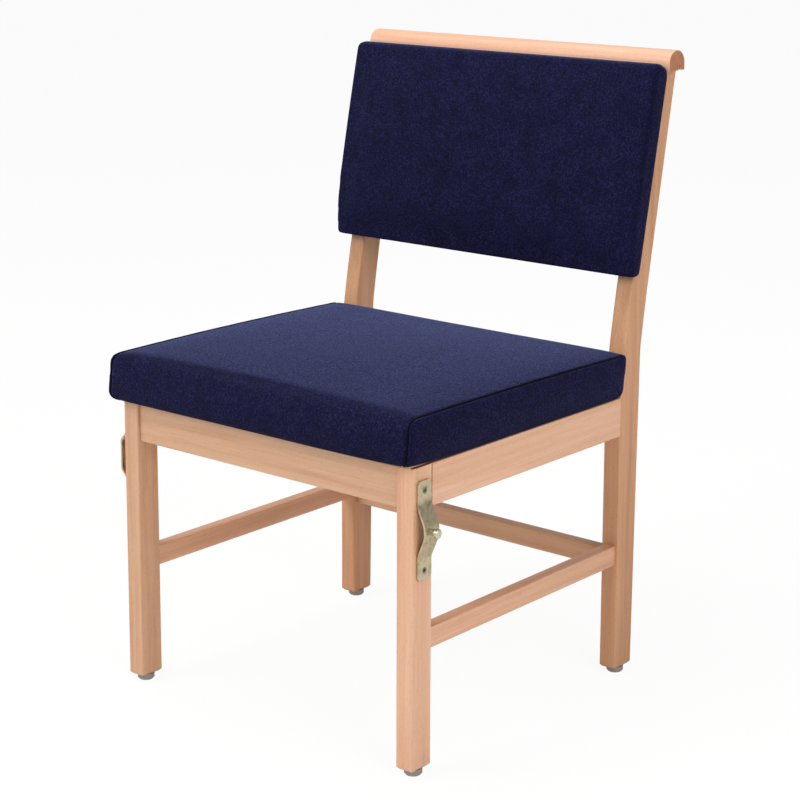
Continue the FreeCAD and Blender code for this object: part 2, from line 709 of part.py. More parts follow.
def top_rail():
    name = "top_rail"
    corner = ("-top_rail_length / 2", f"{BACK} + {TOP_REACH} - top_rail_lead", "upright_top")
    body = new_body(name + "_wood")
    depth, tall = "top_rail_depth", "top_rail_height"
    section = [("0", "0"), (depth, "0"), (depth, tall), ("0", tall)]
    sketch = outline(body, name + "_section", "YZ_Plane", section)
    wood = pad(body, name + "_length", sketch, "top_rail_length")
    height = value_of("top_rail_height")
    length = value_of("top_rail_length")
    wood = round_edges(
        body, name + "_dome", wood, "top_rail_round", lambda m, a: abs(a.x) > 0.99 and m.z > height - 1e-6
    )
    wood = round_edges(
        body, name + "_ends", wood, "arris", lambda m, a: min(m.x, length - m.x) < 1e-6 and m.z > 1e-6
    )
    groove = block(
        name + "_groove",
        ("top_rail_length + 2 * overrun", "groove_width", "groove_depth + overrun"),
        ("-overrun", "top_rail_depth - groove_from_rear - groove_width", "-overrun"),
    )
    holes = dowel_holes(name, top_joints[LEFT] + top_joints[RIGHT], corner)
    node(name, cut(name, body, holes + [groove]), corner)


def corner_block(name, side, end):
    """A glue block in a corner of the seat frame, cut round the leg, in the chair's frame."""
    body = new_body(name + "_wood")
    inside = f"{side} * {SIDE_RAIL_INSIDE}"
    beside_leg = f"{side} * ({LEG_INSIDE} - block_gap)"
    leg_end = f"{leg_face(end)} - {end} * block_gap"
    shape = [
        (inside, f"{leg_face(end)} - {end} * block_reach"),
        (inside, leg_end),
        (beside_leg, leg_end),
        (beside_leg, rail_face(end)),
        (f"{side} * ({LEG_INSIDE} - block_reach)", rail_face(end)),
    ]
    sketch = outline(body, name + "_plan", "XY_Plane", shape, f"{BLOCK_TOP} - block_height")
    pad(body, name + "_height", sketch, "block_height")
    holes = []
    for number, head in enumerate(block_screws(side, end)):
        holes.extend(screw_hole(f"{name}_{number}", head, "block_screw_length"))
    holes.extend(screw_hole(f"{name}_seat", seat_screw(side, end), "seat_screw_length"))
    return cut(name + "_solid", body, holes)


def seat_screw(side, end):
    """Head point and direction of the screw up through a corner block into the seat board."""
    return (
        f"{side} * ({SIDE_RAIL_INSIDE} - block_reach * 0.2)",
        f"{leg_face(end)} - {end} * block_reach * 0.38",
        f"{BLOCK_TOP} - block_height + screw_head_height + seat_screw_sink",
        (0, 0, 1),
    )


def screw(name, length, recess=False):
    """A countersunk wood screw with its head's flat top at its own origin, pointing along +Z."""
    body = new_body(name + "_steel")
    shape = [
        ("0", "0"),
        ("screw_head / 2", "0"),
        ("screw_width / 2", "screw_head_height"),
        ("screw_width / 2", f"{length} - screw_tip"),
        ("0", length),
    ]
    turned(body, name + "_turning", outline(body, name + "_profile", "XZ_Plane", shape))
    if not recess:
        return body
    arms = []
    shapes = (("recess_reach", "recess_width"), ("recess_width", "recess_reach"))
    for number, (wide, tall) in enumerate(shapes):
        sizes = (wide, tall, "recess_depth + overrun")
        arms.append(block(f"{name}_arm_{number}", sizes, (f"-{wide} / 2", f"-{tall} / 2", "-overrun")))
    return cut(name + "_crossed", body, arms)


def corner_blocks():
    blocks = []
    screws = []
    seat_screws = []
    for end_word, end in ENDS:
        for word, side in SIDES:
            name = f"corner_block_{end_word}_{word}"
            blocks.append(corner_block(name, side, end))
            for number, (x, y, z, direction) in enumerate(block_screws(side, end)):
                piece = screw(f"{name}_screw_{number}", "block_screw_length")
                aim(piece, direction)
                place(piece, x, y, z)
                screws.append(piece)
            x, y, z, direction = seat_screw(side, end)
            piece = screw(f"{name}_seat_screw", "seat_screw_length")
            place(piece, x, y, z)
            seat_screws.append(piece)
    node("corner_blocks", group("corner_blocks", blocks))
    node("corner_block_screws", group("corner_block_screws", screws))
    node("seat_board_screws", group("seat_board_screws", seat_screws))


# Cushions: slices across the chair's width, each a side view, joined by smooth lofts
def side_view(body, name, corners, through, offset):
    """A closed side view of lines and arcs; through gives a point on each edge that is an arc."""
    sketch = new_sketch(body, name, "YZ_Plane", offset)
    points = [FreeCAD.Vector(value_of(u), value_of(v), 0) for u, v in corners]
    count = len(points)
    for index in range(count):
        start, end = points[index], points[(index + 1) % count]
        if index in through:
            middle = FreeCAD.Vector(*[value_of(text) for text in through[index]], 0)
            sketch.addGeometry(Part.Arc(start, middle, end), False)
        else:
            sketch.addGeometry(Part.LineSegment(start, end), False)
    for index in range(count):
        sketch.addConstraint(Sketcher.Constraint("Coincident", index, 2, (index + 1) % count, 1))
    for index, (u, v) in enumerate(corners):
        hold(sketch, "DistanceX", index, 1, u)
        hold(sketch, "DistanceY", index, 1, v)
    for index, (u, v) in through.items():
        spot = sketch.addGeometry(Part.Point(FreeCAD.Vector(value_of(u), value_of(v), 0)), True)
        hold(sketch, "DistanceX", spot, 1, u)
        hold(sketch, "DistanceY", spot, 1, v)
        sketch.addConstraint(Sketcher.Constraint("PointOnObject", spot, 1, index))
    return sketch


def lofted(body, name, slices):
    feature = body.newObject("PartDesign::AdditiveLoft", name)
    feature.Profile = slices[0]
    feature.Sections = slices[1:]
    feature.Ruled = False
    feature.recompute(True)
    return feature


# How far a rounded end is drawn in: distance from the end and inset, as shares of its radius
END_STEPS = [(0, 1.0, 1.0), (0.3, 0.286, 0.25), (1, 0.0, 0.0)]
# The share of a cushion's crown that is left at its ends
END_CROWN = 0.2


def cushion(name, half_width, corner, view):
    """A cushion from its side view; view gives the outline for a share of end rounding and crown."""
    body = new_body(name)
    ends = {}
    for word, side in SIDES:
        slices = []
        for number, (away, rounding, tuck) in enumerate(END_STEPS):
            offset = f"{side} * ({half_width} - {away} * {corner})"
            corners, through = view(rounding, tuck, END_CROWN)
            slices.append(side_view(body, f"{name}_{word}_{number}", corners, through, offset))
        ends[side] = slices
    corners, through = view(0.0, 0.0, 1.0)
    middle = side_view(body, name + "_middle", corners, through, "0")
    lofted(body, name + "_body", [ends[RIGHT][2], middle, ends[LEFT][2]])
    for word, side in SIDES:
        lofted(body, f"{name}_{word}", ends[side])
    return body


def seat_form(name, inset):
    """The seat cushion's shape, all its faces moved inwards by inset."""
    base = f"(seat_frame_top + soft_gap + {inset})"
    seam = f"(seat_frame_top + soft_gap + seat_side_height - {inset})"
    front = f"({FRONT} - seat_front_reach + {inset})"
    rear = f"({BACK} - seat_rear_gap - {inset})"

    def view(rounding, tuck, crown):
        near = f"({front} + {rounding} * seat_corner)"
        far = f"({rear} - {rounding} * seat_corner)"
        low = f"({base} + {tuck} * seat_tuck)"
        high = f"({seam} - {tuck} * seat_tuck)"
        corners = [
            (f"{near} + seat_tuck * 2", low),
            (f"{far} - seat_rear_lean * 0.5", low),
            (f"{far} + seat_rear_lean * 0.5", high),
            (f"{near} + seat_front_roll", high),
            (f"{near} + seat_front_lean", f"{high} - seat_front_roll * 0.29"),
            (near, f"{low} + seat_side_height * 0.13"),
        ]
        roll = "(seat_front_roll - seat_front_lean)"
        through = {
            2: (f"({near} + {far}) / 2", f"{high} + {crown} * seat_crown"),
            3: (f"{near} + seat_front_lean + {roll} * 0.32", f"{high} - seat_front_roll * 0.09"),
            5: (f"{near} + seat_tuck * 0.7", f"{low} + seat_tuck * 0.7"),
        }
        return corners, through

    return cushion(name, f"(seat_half_width - {inset})", f"(seat_corner - {inset})", view)


def board_edges(extra="0"):
    """Low corner and sizes of the seat board, grown all round by extra."""
    inset = f"(board_inset - {extra})"
    half = f"(seat_half_width - {inset})"
    front = f"({FRONT} - seat_front_reach + {inset})"
    rear = f"({BACK} - seat_rear_gap - {inset})"
    bottom = f"(seat_frame_top + 2 * soft_gap + cloth - {extra})"
    corner = (f"-{half}", front, bottom)
    sizes = (f"2 * {half}", f"{rear} - {front}", f"board_thickness + 2 * {extra}")
    return sizes, corner


def seat():
    sizes, corner = board_edges()
    plain = block("seat_board_sheet", sizes, ("0", "0", "0"))
    holes = []
    for end_word, end in ENDS:
        for word, side in SIDES:
            head = seat_screw(side, end)
            holes.extend(screw_hole(f"seat_board_{end_word}_{word}", head, "seat_screw_length", corner)[:1])
    node("seat_board", cut("seat_board", plain, holes), corner)

    well_sizes, well_corner = board_edges("soft_gap")
    bottom = "(seat_frame_top + soft_gap)"
    rest = (well_corner[0], well_corner[1], bottom)
    room = (well_sizes[0], well_sizes[1], "cloth + 3 * soft_gap + board_thickness")
    foam = seat_form("seat_foam_form", "(cloth + soft_gap)")
    node("seat_foam", cut("seat_foam", foam, [block("seat_foam_well", room, rest)]))

    outer = seat_form("seat_cover_form", "0")
    inner = seat_form("seat_cover_inside", "cloth")
    wide, deep = [f"{size} - 2 * board_window" for size in sizes[:2]]
    window_sizes = (wide, deep, "cloth + 2 * overrun")
    window_corner = (f"{corner[0]} + board_window", f"{corner[1]} + board_window", f"{bottom} - overrun")
    window = block("seat_cover_window", window_sizes, window_corner)
    ways = []
    for end_word, end in ENDS:
        for word, side in SIDES:
            head = seat_screw(side, end)
            ways.extend(screw_hole(f"seat_cover_{end_word}_{word}", head, "seat_screw_length")[:1])
    node("seat_cover", cut("seat_cover", outer, [inner, window] + ways))


# The back cushion's own frame: origin on the uprights' front faces at their upper bend, +Z up the lean
def lean_frame(obj):
    obj.Placement = FreeCAD.Placement(FreeCAD.Vector(), FreeCAD.Rotation(FreeCAD.Vector(1, 0, 0), -1))
    bind(obj, ".Placement.Rotation.Angle", f"-1 * {RAKE}")
    place(obj, "0", f"{BACK} + {BEND_REACH}", "back_bend_height")
    return obj


def pad_form(name, inset):
    """The back cushion's shape in its own frame, all its faces moved inwards by inset."""

    def view(rounding, tuck, crown):
        rear = f"-(soft_gap + {inset} + {tuck} * pad_tuck * 0.5)"
        face = f"-(soft_gap + pad_depth - {inset} - {tuck} * pad_tuck)"
        thin = f"-(soft_gap + pad_low_depth - {inset} - {tuck} * pad_tuck * 0.5)"
        low = f"(-pad_drop + {inset} + {rounding} * pad_corner)"
        high = f"(pad_height - pad_drop - {inset} - {rounding} * pad_corner)"
        corners = [
            (thin, low),
            (rear, f"{low} + pad_tuck"),
            (rear, f"{high} - pad_top_round"),
            (face, f"{high} - pad_top_round"),
            (face, f"{low} + pad_taper_height"),
        ]
        through = {
            0: (f"({thin} + {rear}) / 2", low),
            2: (f"{rear} * 0.5 + {face} * 0.5", f"{high}"),
            3: (f"{face} - {crown} * pad_crown", f"({low} + {high} + pad_taper_height * 0.5) / 2"),
            4: (f"{thin} * 0.4 + {face} * 0.6 - pad_crown * 0.2", f"{low} + pad_taper_height * 0.4"),
        }
        return corners, through

    return cushion(name, f"({PAD_HALF} - {inset})", f"(pad_corner - {inset})", view)


def panel_box(name, extra):
    """The back panel, grown all round by extra, in the back cushion's own frame."""
    inset = f"(panel_inset - {extra})"
    half = f"({PAD_HALF} - {inset})"
    sizes = (f"2 * {half}", f"board_thickness + 2 * {extra}", f"pad_height - 2 * {inset}")
    corner = (
        f"-{half}",
        f"-(2 * soft_gap + cloth + board_thickness + {extra})",
        f"-pad_drop + {inset}",
    )
    return block(name, sizes, corner)


def back_screw_ways(name):
    """The four back screws' paths in the back cushion's own frame."""
    ways = []
    for word, side in SIDES:
        for number, up in BACK_SCREW_STEPS:
            past = "screw_head_height + hole_end_gap + overrun"
            reach = f"(back_screw_length - {upright_depth(up)} + {past})"
            middle = (f"{side} * {LEG_CENTRE}", f"overrun - {reach} / 2", up)
            ways.append(rod(f"{name}_{word}_{number}", "Y", "screw_width / 2 + glue_gap", reach, middle))
    return ways


def back():
    sheet_ply = panel_box("back_panel_sheet", "0")
    node("back_panel", lean_frame(cut("back_panel", sheet_ply, back_screw_ways("back_panel_way"))))

    foam = pad_form("back_foam_form", "(cloth + soft_gap)")
    well = panel_box("back_foam_well", "soft_gap")
    inset = "(panel_inset - soft_gap)"
    half = f"({PAD_HALF} - {inset})"
    behind = block(
        "back_foam_behind",
        (f"2 * {half}", "3 * soft_gap + cloth", f"pad_height - 2 * {inset}"),
        (f"-{half}", "-(3 * soft_gap + cloth)", f"-pad_drop + {inset}"),
    )
    foam_ways = back_screw_ways("back_foam_way")
    node("back_foam", lean_frame(cut("back_foam", foam, [well, behind] + foam_ways)))

    outer = pad_form("back_cover_form", "0")
    inner = pad_form("back_cover_inside", "cloth")
    node("back_cover", lean_frame(cut("back_cover", outer, [inner] + back_screw_ways("back_cover_way"))))

    screws = []
    for word, side in SIDES:
        for number, up in BACK_SCREW_STEPS:
            piece = screw(f"back_screw_{word}_{number}", "back_screw_length")
            lean(piece, f"{side} * {LEG_CENTRE}", up, upright_depth(up))
            screws.append(piece)
    node("back_panel_screws", group("back_panel_screws", screws))


def glides():
    nails = []
    for end_word, end in ENDS:
        depth = "front_leg_depth" if end < 0 else "back_foot_depth"
        face = FRONT if end < 0 else BACK
        for word, side in SIDES:
            name = f"glide_{end_word}_{word}"
            spot = (f"{side} * {LEG_CENTRE}", f"{face} + {depth} / 2", "0")
            body = new_body(name)
            shape = [
                ("nail_width / 2 + glue_gap", "nail_recess"),
                ("nail_head / 2 + glue_gap", "nail_recess"),
                ("nail_head / 2 + glue_gap", "0"),
                ("glide_sole / 2", "0"),
                ("glide_width / 2", "glide_edge"),
                ("glide_width / 2", "foot_height"),
                ("nail_width / 2 + glue_gap", "foot_height"),
            ]
            turned(body, name + "_turning", outline(body, name + "_profile", "XZ_Plane", shape))
            node(name, body, spot)
            nail = new_body(name + "_nail")
            shape = [
                ("0", "nail_recess - nail_head_height"),
                ("nail_head / 2", "nail_recess - nail_head_height"),
                ("nail_head / 2", "nail_recess"),
                ("nail_width / 2", "nail_recess"),
                ("nail_width / 2", "nail_recess + nail_length - nail_width"),
                ("0", "nail_recess + nail_length"),
            ]
            turned(nail, name + "_nail_turning", outline(nail, name + "_nail_profile", "XZ_Plane", shape))
            place(nail, *spot)
            nails.append(nail)
    node("glide_nails", group("glide_nails", nails))


# Link brackets: a bowed strap on each front leg's outer face, one with a stud and one with a slot
def strap(name, side, bow_flat, bow_round):
    """A bowed strap and its holes; its own origin is on the leg's face, midway along it."""
    body = new_body(name + "_strap")
    bend = f"(strap_thickness * tan(atan(bow_reach / (bow_length / 2 - {bow_flat} / 2)) / 2))"
    half = "strap_length / 2"
    foot = "bow_length / 2"
    flat = f"({bow_flat} / 2)"
    near = [
        ("0", half),
        ("0", foot),
        ("bow_reach", flat),
        ("bow_reach", f"-{flat}"),
        ("0", f"-{foot}"),
        ("0", f"-{half}"),
    ]
    far = [
        ("strap_thickness", f"-{half}"),
        ("strap_thickness", f"-({foot} + {bend})"),
        ("bow_reach + strap_thickness", f"-({flat} + {bend})"),
        ("bow_reach + strap_thickness", f"{flat} + {bend}"),
        ("strap_thickness", f"{foot} + {bend}"),
        ("strap_thickness", half),
    ]
    shape = [(f"{side} * ({u})", v) for u, v in near + far]
    sketch = outline(body, name + "_side", "XZ_Plane", shape)
    steel = pad(body, name + "_width", sketch, "strap_width", middle=True)
    end = value_of("strap_length / 2")
    steel = round_edges(
        body, name + "_bends", steel, bow_round,
        lambda m, a: abs(a.y) > 0.99 and abs(m.z) < end - 1e-6,
    )
    round_edges(
        body, name + "_end_rounds", steel, "strap_end_round",
        lambda m, a: abs(a.x) > 0.99 and abs(m.z) > end - 1e-6,
    )
    holes = []
    for number, up in enumerate((-1, 1)):
        height = f"{up} * strap_screw_pitch / 2"
        middle = ("0", "0", height)
        radius = "screw_width / 2 + glue_gap"
        shank = rod(f"{name}_hole_{number}", "X", radius, "4 * strap_thickness", middle)
        sink = doc.addObject("Part::Cone", f"{name}_sink_{number}")
        bind(sink, "Radius1", "screw_head / 2 + glue_gap")
        bind(sink, "Radius2", radius)
        bind(sink, "Height", "screw_head_height")
        aim(sink, (-side, 0, 0))
        place(sink, f"{side} * (strap_thickness + glue_gap)", "0", height)
        holes.extend([shank, sink])
    return body, holes


def link_brackets():
    place_y = f"{FRONT} + strap_middle"
    spots = {side: (f"{side} * frame_width / 2", place_y, "strap_height") for _, side in SIDES}
    through = "4 * strap_thickness"
    body, holes = strap("link_stud_bracket", LEFT, "stud_bow_flat", "stud_bow_round")
    hole = rod("link_stud_hole", "X", "stud_width / 2 + glue_gap", through, ("bow_reach", "0", "0"))
    node("link_stud_bracket", cut("link_stud_bracket", body, holes + [hole]), spots[LEFT])

    body, holes = strap("link_slot_bracket", RIGHT, "slot_bow_flat", "slot_bow_round")
    narrow = "(stud_width / 2 + slot_gap)"
    wide = "(stud_head / 2 + slot_entry_gap)"
    top = rod("link_slot_top", "X", narrow, through, ("-bow_reach", "0", "0"))
    bottom = rod("link_slot_bottom", "X", wide, through, ("-bow_reach", "0", "-slot_drop"))
    channel = block(
        "link_slot_channel", (through, f"2 * {narrow}", "slot_drop"),
        (f"-bow_reach - {through} / 2", f"-{narrow}", "-slot_drop"),
    )
    node("link_slot_bracket", cut("link_slot_bracket", body, holes + [top, bottom, channel]), spots[RIGHT])

    stud = new_body("link_stud_turning")
    inner = "bow_reach"
    outer = "(bow_reach + strap_thickness)"
    shape = [
        ("0", f"{inner} - stud_peen_height"),
        ("stud_peen / 2", f"{inner} - stud_peen_height"),
        ("stud_peen / 2", inner),
        ("stud_width / 2", inner),
        ("stud_width / 2", f"{outer} + stud_reach"),
        ("stud_head / 2", f"{outer} + stud_reach"),
        ("stud_head / 2", f"{outer} + stud_reach + stud_head_height"),
        ("0", f"{outer} + stud_reach + stud_head_height"),
    ]
    steel = turned(stud, "link_stud_full_turn", outline(stud, "link_stud_profile", "XZ_Plane", shape))
    head_end = value_of(f"{outer} + stud_reach + stud_head_height")
    round_edges(stud, "link_stud_dome", steel, "stud_head_height / 3", lambda m, a: m.z > head_end - 1e-6)
    aim(stud, (1, 0, 0))
    node("link_stud", stud, spots[LEFT])

    screws = []
    for word, side in SIDES:
        for number, up in enumerate((-1, 1)):
            piece = screw(f"link_screw_{word}_{number}", "link_screw_length", recess=True)
            aim(piece, (-side, 0, 0))
            x = f"{side} * (frame_width / 2 + strap_thickness)"
            place(piece, x, place_y, f"strap_height + {up} * strap_screw_pitch / 2")
            screws.append(piece)
    node("link_screws", group("link_screws", screws))


front_legs()
back_legs()
rails()
stretchers()
top_rail()
corner_blocks()
dowels("seat_rail_dowels", [front_rail_joints, back_rail_joints, side_front_joints, side_back_joints])
dowels("stretcher_dowels", [stretcher_front_joints, stretcher_back_joints, back_stretcher_joints])
dowels("top_rail_dowels", [top_joints])
seat()
back()
glides()
link_brackets()
doc.recompute()

for obj in doc.Objects:
    if "Invalid" in obj.State or "Error" in obj.State:
        raise RuntimeError(f"{obj.Name} did not compute: {obj.State}")
os.makedirs("parts", exist_ok=True)
for obj in nodes:
    shape = obj.Shape
    if shape.isNull() or not shape.isValid():
        raise RuntimeError(f"{obj.Label} has no valid shape")
    solids, faces = len(shape.Solids), len(shape.Faces)
    print(f"{obj.Label}: {solids} solids, {shape.Volume / 1000:.1f} cm3, {faces} faces")
    shape.exportStep(f"parts/{obj.Label}.step")
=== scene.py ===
# %% [markdown]
# # A choir chair
# The chair is a beech frame with an upholstered seat and back, and plated steel brackets that link it
# to its neighbour in a row. The solids come from the CAD part. Here each wooden and metal piece keeps
# its solid and gets the finish of the real one, and the two cushions are made again as soft things.

import math

import bmesh
import bpy
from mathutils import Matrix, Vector


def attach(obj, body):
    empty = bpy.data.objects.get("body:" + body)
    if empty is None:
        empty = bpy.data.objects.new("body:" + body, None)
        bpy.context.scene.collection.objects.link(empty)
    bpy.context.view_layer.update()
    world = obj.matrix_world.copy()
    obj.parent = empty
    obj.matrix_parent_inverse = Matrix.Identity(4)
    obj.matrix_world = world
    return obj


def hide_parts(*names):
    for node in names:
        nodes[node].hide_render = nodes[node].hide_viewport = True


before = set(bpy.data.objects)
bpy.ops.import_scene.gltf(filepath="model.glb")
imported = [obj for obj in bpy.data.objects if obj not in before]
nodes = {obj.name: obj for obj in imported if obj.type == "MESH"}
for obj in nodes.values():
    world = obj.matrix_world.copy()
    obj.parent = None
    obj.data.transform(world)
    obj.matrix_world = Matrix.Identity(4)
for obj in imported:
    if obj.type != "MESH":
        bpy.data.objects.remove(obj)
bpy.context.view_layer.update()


# %% [markdown]
# ## Colours and shader nodes
# Colours are written as they look on a screen, in hex, and Blender's shaders want linear light, so one
# function turns one into the other. A second function adds a shader node, gives it its settings and
# joins its inputs, which keeps each material as short as its recipe.

# %% Two helpers for materials
def linear(hex_colour):
    """An sRGB hex colour as linear RGBA."""
    parts = [int(hex_colour[i : i + 2], 16) / 255 for i in (1, 3, 5)]
    return [c / 12.92 if c <= 0.04045 else ((c + 0.055) / 1.055) ** 2.4 for c in parts] + [1.0]


def add(tree, kind, settings=None, **inputs):
    """Adds a node; settings are its own fields, inputs are values or other nodes' outputs."""
    made = tree.nodes.new(kind)
    for field, value in (settings or {}).items():
        setattr(made, field, value)
    for name, value in inputs.items():
        socket = made.inputs[int(name[1:])] if name[0] == "i" and name[1:].isdigit() else made.inputs[name]
        if isinstance(value, bpy.types.NodeSocket):
            tree.links.new(value, socket)
        else:
            socket.default_value = value
    return made


def ramp(tree, factor, stops):
    """A colour ramp over a factor; stops are (place, hex colour) pairs."""
    made = add(tree, "ShaderNodeValToRGB", Fac=factor)
    elements = made.color_ramp.elements
    while len(elements) < len(stops):
        elements.new(0.5)
    for element, (place, colour) in zip(elements, stops):
        element.position = place
        element.color = linear(colour)
    return made.outputs["Color"]


def new_material(name):
    """An empty material with its shader and output."""
    material = bpy.data.materials.new(name)
    material.use_nodes = True
    tree = material.node_tree
    tree.nodes.clear()
    shader = tree.nodes.new("ShaderNodeBsdfPrincipled")
    output = tree.nodes.new("ShaderNodeOutputMaterial")
    tree.links.new(shader.outputs["BSDF"], output.inputs["Surface"])
    return material, tree, shader


MM = 0.001
print("helpers ready; mid grey is", round(linear("#808080")[0], 3), "in linear light")

# %% [markdown]
# ## Lacquered beech
# Beech is pale and pinkish, with a fine even grain. What tells it from other woods are its rays: short
# brown flecks, 1 to 3 mm long and a third of a millimetre wide, that lie along the grain, and soft
# bands of growth some 4 to 9 mm apart. A clear satin lacquer fills the pores, so the surface is smooth
# with a soft gloss. The pattern reads the chair's own coordinates in metres. It is stretched along the
# piece, so legs, rails and side rails get one material each, turned to their grain.

# %% Beech with its grain along X, Y or Z
GRAIN_TURN = {"X": (0, math.pi / 2, 0), "Y": (math.pi / 2, 0, 0), "Z": (0, 0, 0)}
GRAIN_AXIS = {"X": (1, 0, 0), "Y": (0, 1, 0), "Z": (0, 0, 1)}


def beech(name, along, pale, mid, deep, seed, gloss=0.42):
    """Lacquered beech with its grain along one axis of the chair."""
    material, tree, shader = new_material(name)
    place = add(tree, "ShaderNodeTexCoord").outputs["Object"]
    turned = add(tree, "ShaderNodeMapping", Vector=place, Rotation=GRAIN_TURN[along]).outputs["Vector"]
    moved = add(tree, "ShaderNodeMapping", Vector=turned, Location=(seed, seed * 0.7, seed * 1.3))
    # growth bands: 12 mm across with finer ones inside them, drawn out nearly thirty times along the grain
    drawn = add(tree, "ShaderNodeMapping", Vector=moved.outputs["Vector"], Scale=(1, 1, 0.035)).outputs["Vector"]
    bands = add(tree, "ShaderNodeTexNoise", Vector=drawn, Scale=85.0, Detail=3.0, Roughness=0.55, Distortion=0.35)
    # slow changes of tone from board to board and along a board
    tone = add(tree, "ShaderNodeTexNoise", Vector=drawn, Scale=16.0, Detail=2.0, Roughness=0.5)
    # fine grain lines, 1.1 mm apart
    fine = add(tree, "ShaderNodeMapping", Vector=moved.outputs["Vector"], Scale=(1, 1, 0.02)).outputs["Vector"]
    lines = add(tree, "ShaderNodeTexNoise", Vector=fine, Scale=900.0, Detail=2.0, Roughness=0.6)
    # ray flecks: cells 1.6 mm across and 9.5 mm long, of which only the cores are flecks
    cells = add(tree, "ShaderNodeMapping", Vector=moved.outputs["Vector"], Scale=(1, 1, 0.17)).outputs["Vector"]
    flecks = add(tree, "ShaderNodeTexVoronoi", {"feature": "F1"}, Vector=cells, Scale=620.0, Randomness=1.0)
    fleck = add(
        tree, "ShaderNodeMapRange", {"interpolation_type": "SMOOTHSTEP"}, Value=flecks.outputs["Distance"],
        i1=0.10, i2=0.24, i3=1.0, i4=0.0,
    ).outputs["Result"]
    soft_fleck = add(tree, "ShaderNodeMath", {"operation": "MULTIPLY"}, i0=fleck, i1=0.34).outputs["Value"]
    figure = add(tree, "ShaderNodeMath", {"operation": "MULTIPLY_ADD"}, i0=bands.outputs["Fac"], i1=0.62)
    tree.links.new(add(
        tree, "ShaderNodeMath", {"operation": "MULTIPLY"}, i0=tone.outputs["Fac"], i1=0.38,
    ).outputs["Value"], figure.inputs[2])
    colour = ramp(tree, figure.outputs["Value"], [(0.30, deep), (0.47, mid), (0.66, pale)])
    lined = add(
        tree, "ShaderNodeMixRGB", {"blend_type": "MULTIPLY"}, Fac=0.20, Color1=colour,
        Color2=ramp(tree, lines.outputs["Fac"], [(0.30, "#C8AE9A"), (0.62, "#FFFFFF")]),
    ).outputs["Color"]
    flecked = add(
        tree, "ShaderNodeMixRGB", {"blend_type": "MULTIPLY"}, Fac=soft_fleck, Color1=lined,
        Color2=linear("#A8754E"),
    ).outputs["Color"]
    # the sawn ends drink more lacquer and go darker
    normal = add(tree, "ShaderNodeNewGeometry").outputs["Normal"]
    facing = add(tree, "ShaderNodeVectorMath", {"operation": "DOT_PRODUCT"}, i0=normal, i1=GRAIN_AXIS[along])
    size = add(tree, "ShaderNodeMath", {"operation": "ABSOLUTE"}, i0=facing.outputs["Value"]).outputs["Value"]
    end = add(tree, "ShaderNodeMapRange", Value=size, i1=0.75, i2=0.97, i3=0.0, i4=0.75).outputs["Result"]
    finished = add(
        tree, "ShaderNodeMixRGB", {"blend_type": "MULTIPLY"}, Fac=end, Color1=flecked, Color2=linear("#B98A5E"),
    ).outputs["Color"]
    tree.links.new(finished, shader.inputs["Base Color"])
    rough = add(
        tree, "ShaderNodeMapRange", Value=lines.outputs["Fac"], i1=0.2, i2=0.8, i3=gloss + 0.08, i4=gloss - 0.04
    )
    tree.links.new(rough.outputs["Result"], shader.inputs["Roughness"])
    relief = add(tree, "ShaderNodeMath", {"operation": "MULTIPLY_ADD"}, i0=fleck, i1=-0.5)
    tree.links.new(lines.outputs["Fac"], relief.inputs[2])
    bump = add(tree, "ShaderNodeBump", Strength=0.10, Distance=0.00008, Height=relief.outputs["Value"])
    tree.links.new(bump.outputs["Normal"], shader.inputs["Normal"])
    shader.inputs["IOR"].default_value = 1.5
    shader.inputs["Coat Weight"].default_value = 0.12
    shader.inputs["Coat Roughness"].default_value = 0.28
    return material


# three boards: a pale pink one, a middling one and a browner one, as pale, middle and deep tones; the browner one,
# on the back legs, is browner wood and also painted shade, darker for the shade they stand in behind the back
# cushion
PINK = ("#E9BA9C", "#DFAC8A", "#CF9674")
MIDDLING = ("#DAB08F", "#D0A27F", "#C08D69")
BROWN_AND_SHADED = ("#D4A27A", "#CA946C", "#BA8058")
leg_front_left = beech("beech_leg_front_left", "Z", *PINK, 0.0)
leg_front_right = beech("beech_leg_front_right", "Z", *MIDDLING, 1.7)
leg_back_left = beech("beech_leg_back_left", "Z", *BROWN_AND_SHADED, 3.1)
leg_back_right = beech("beech_leg_back_right", "Z", *BROWN_AND_SHADED, 4.9)
rail_front = beech("beech_rail_front", "X", *MIDDLING, 6.3)
rail_top = beech("beech_rail_top", "X", "#E7B597", "#DEA887", "#D09673", 8.2)
rail_side = beech("beech_rail_side", "Y", *PINK, 9.4)
stretcher_side = beech("beech_stretcher_side", "Y", *PINK, 11.8)
WOOD = {
    "front_leg_left": leg_front_left,
    "front_leg_right": leg_front_right,
    "back_leg_left": leg_back_left,
    "back_leg_right": leg_back_right,
    "front_seat_rail": rail_front,
    "back_seat_rail": rail_front,
    "back_stretcher": rail_front,
    "top_rail": rail_top,
    "side_seat_rail_left": rail_side,
    "side_seat_rail_right": rail_side,
    "side_stretcher_left": stretcher_side,
    "side_stretcher_right": stretcher_side,
}


def finish_node(name, material):
    """Puts a material on a CAD piece."""
    mesh = nodes[name].data
    mesh.materials.clear()
    mesh.materials.append(material)


for name, material in WOOD.items():
    finish_node(name, material)
print("lacquered:", ", ".join(sorted(WOOD)))

# %% [markdown]
# ## Unseen wood: glue blocks, dowels and plywood
# Under the seat the wood has no lacquer, so it is matt and shows the saw. Plywood shows its layers at
# its edges: veneers about 1.5 mm thick, light and dark in turn. A wave across the sheet draws them, and
# it shows on the edges only, because on the faces it runs level.

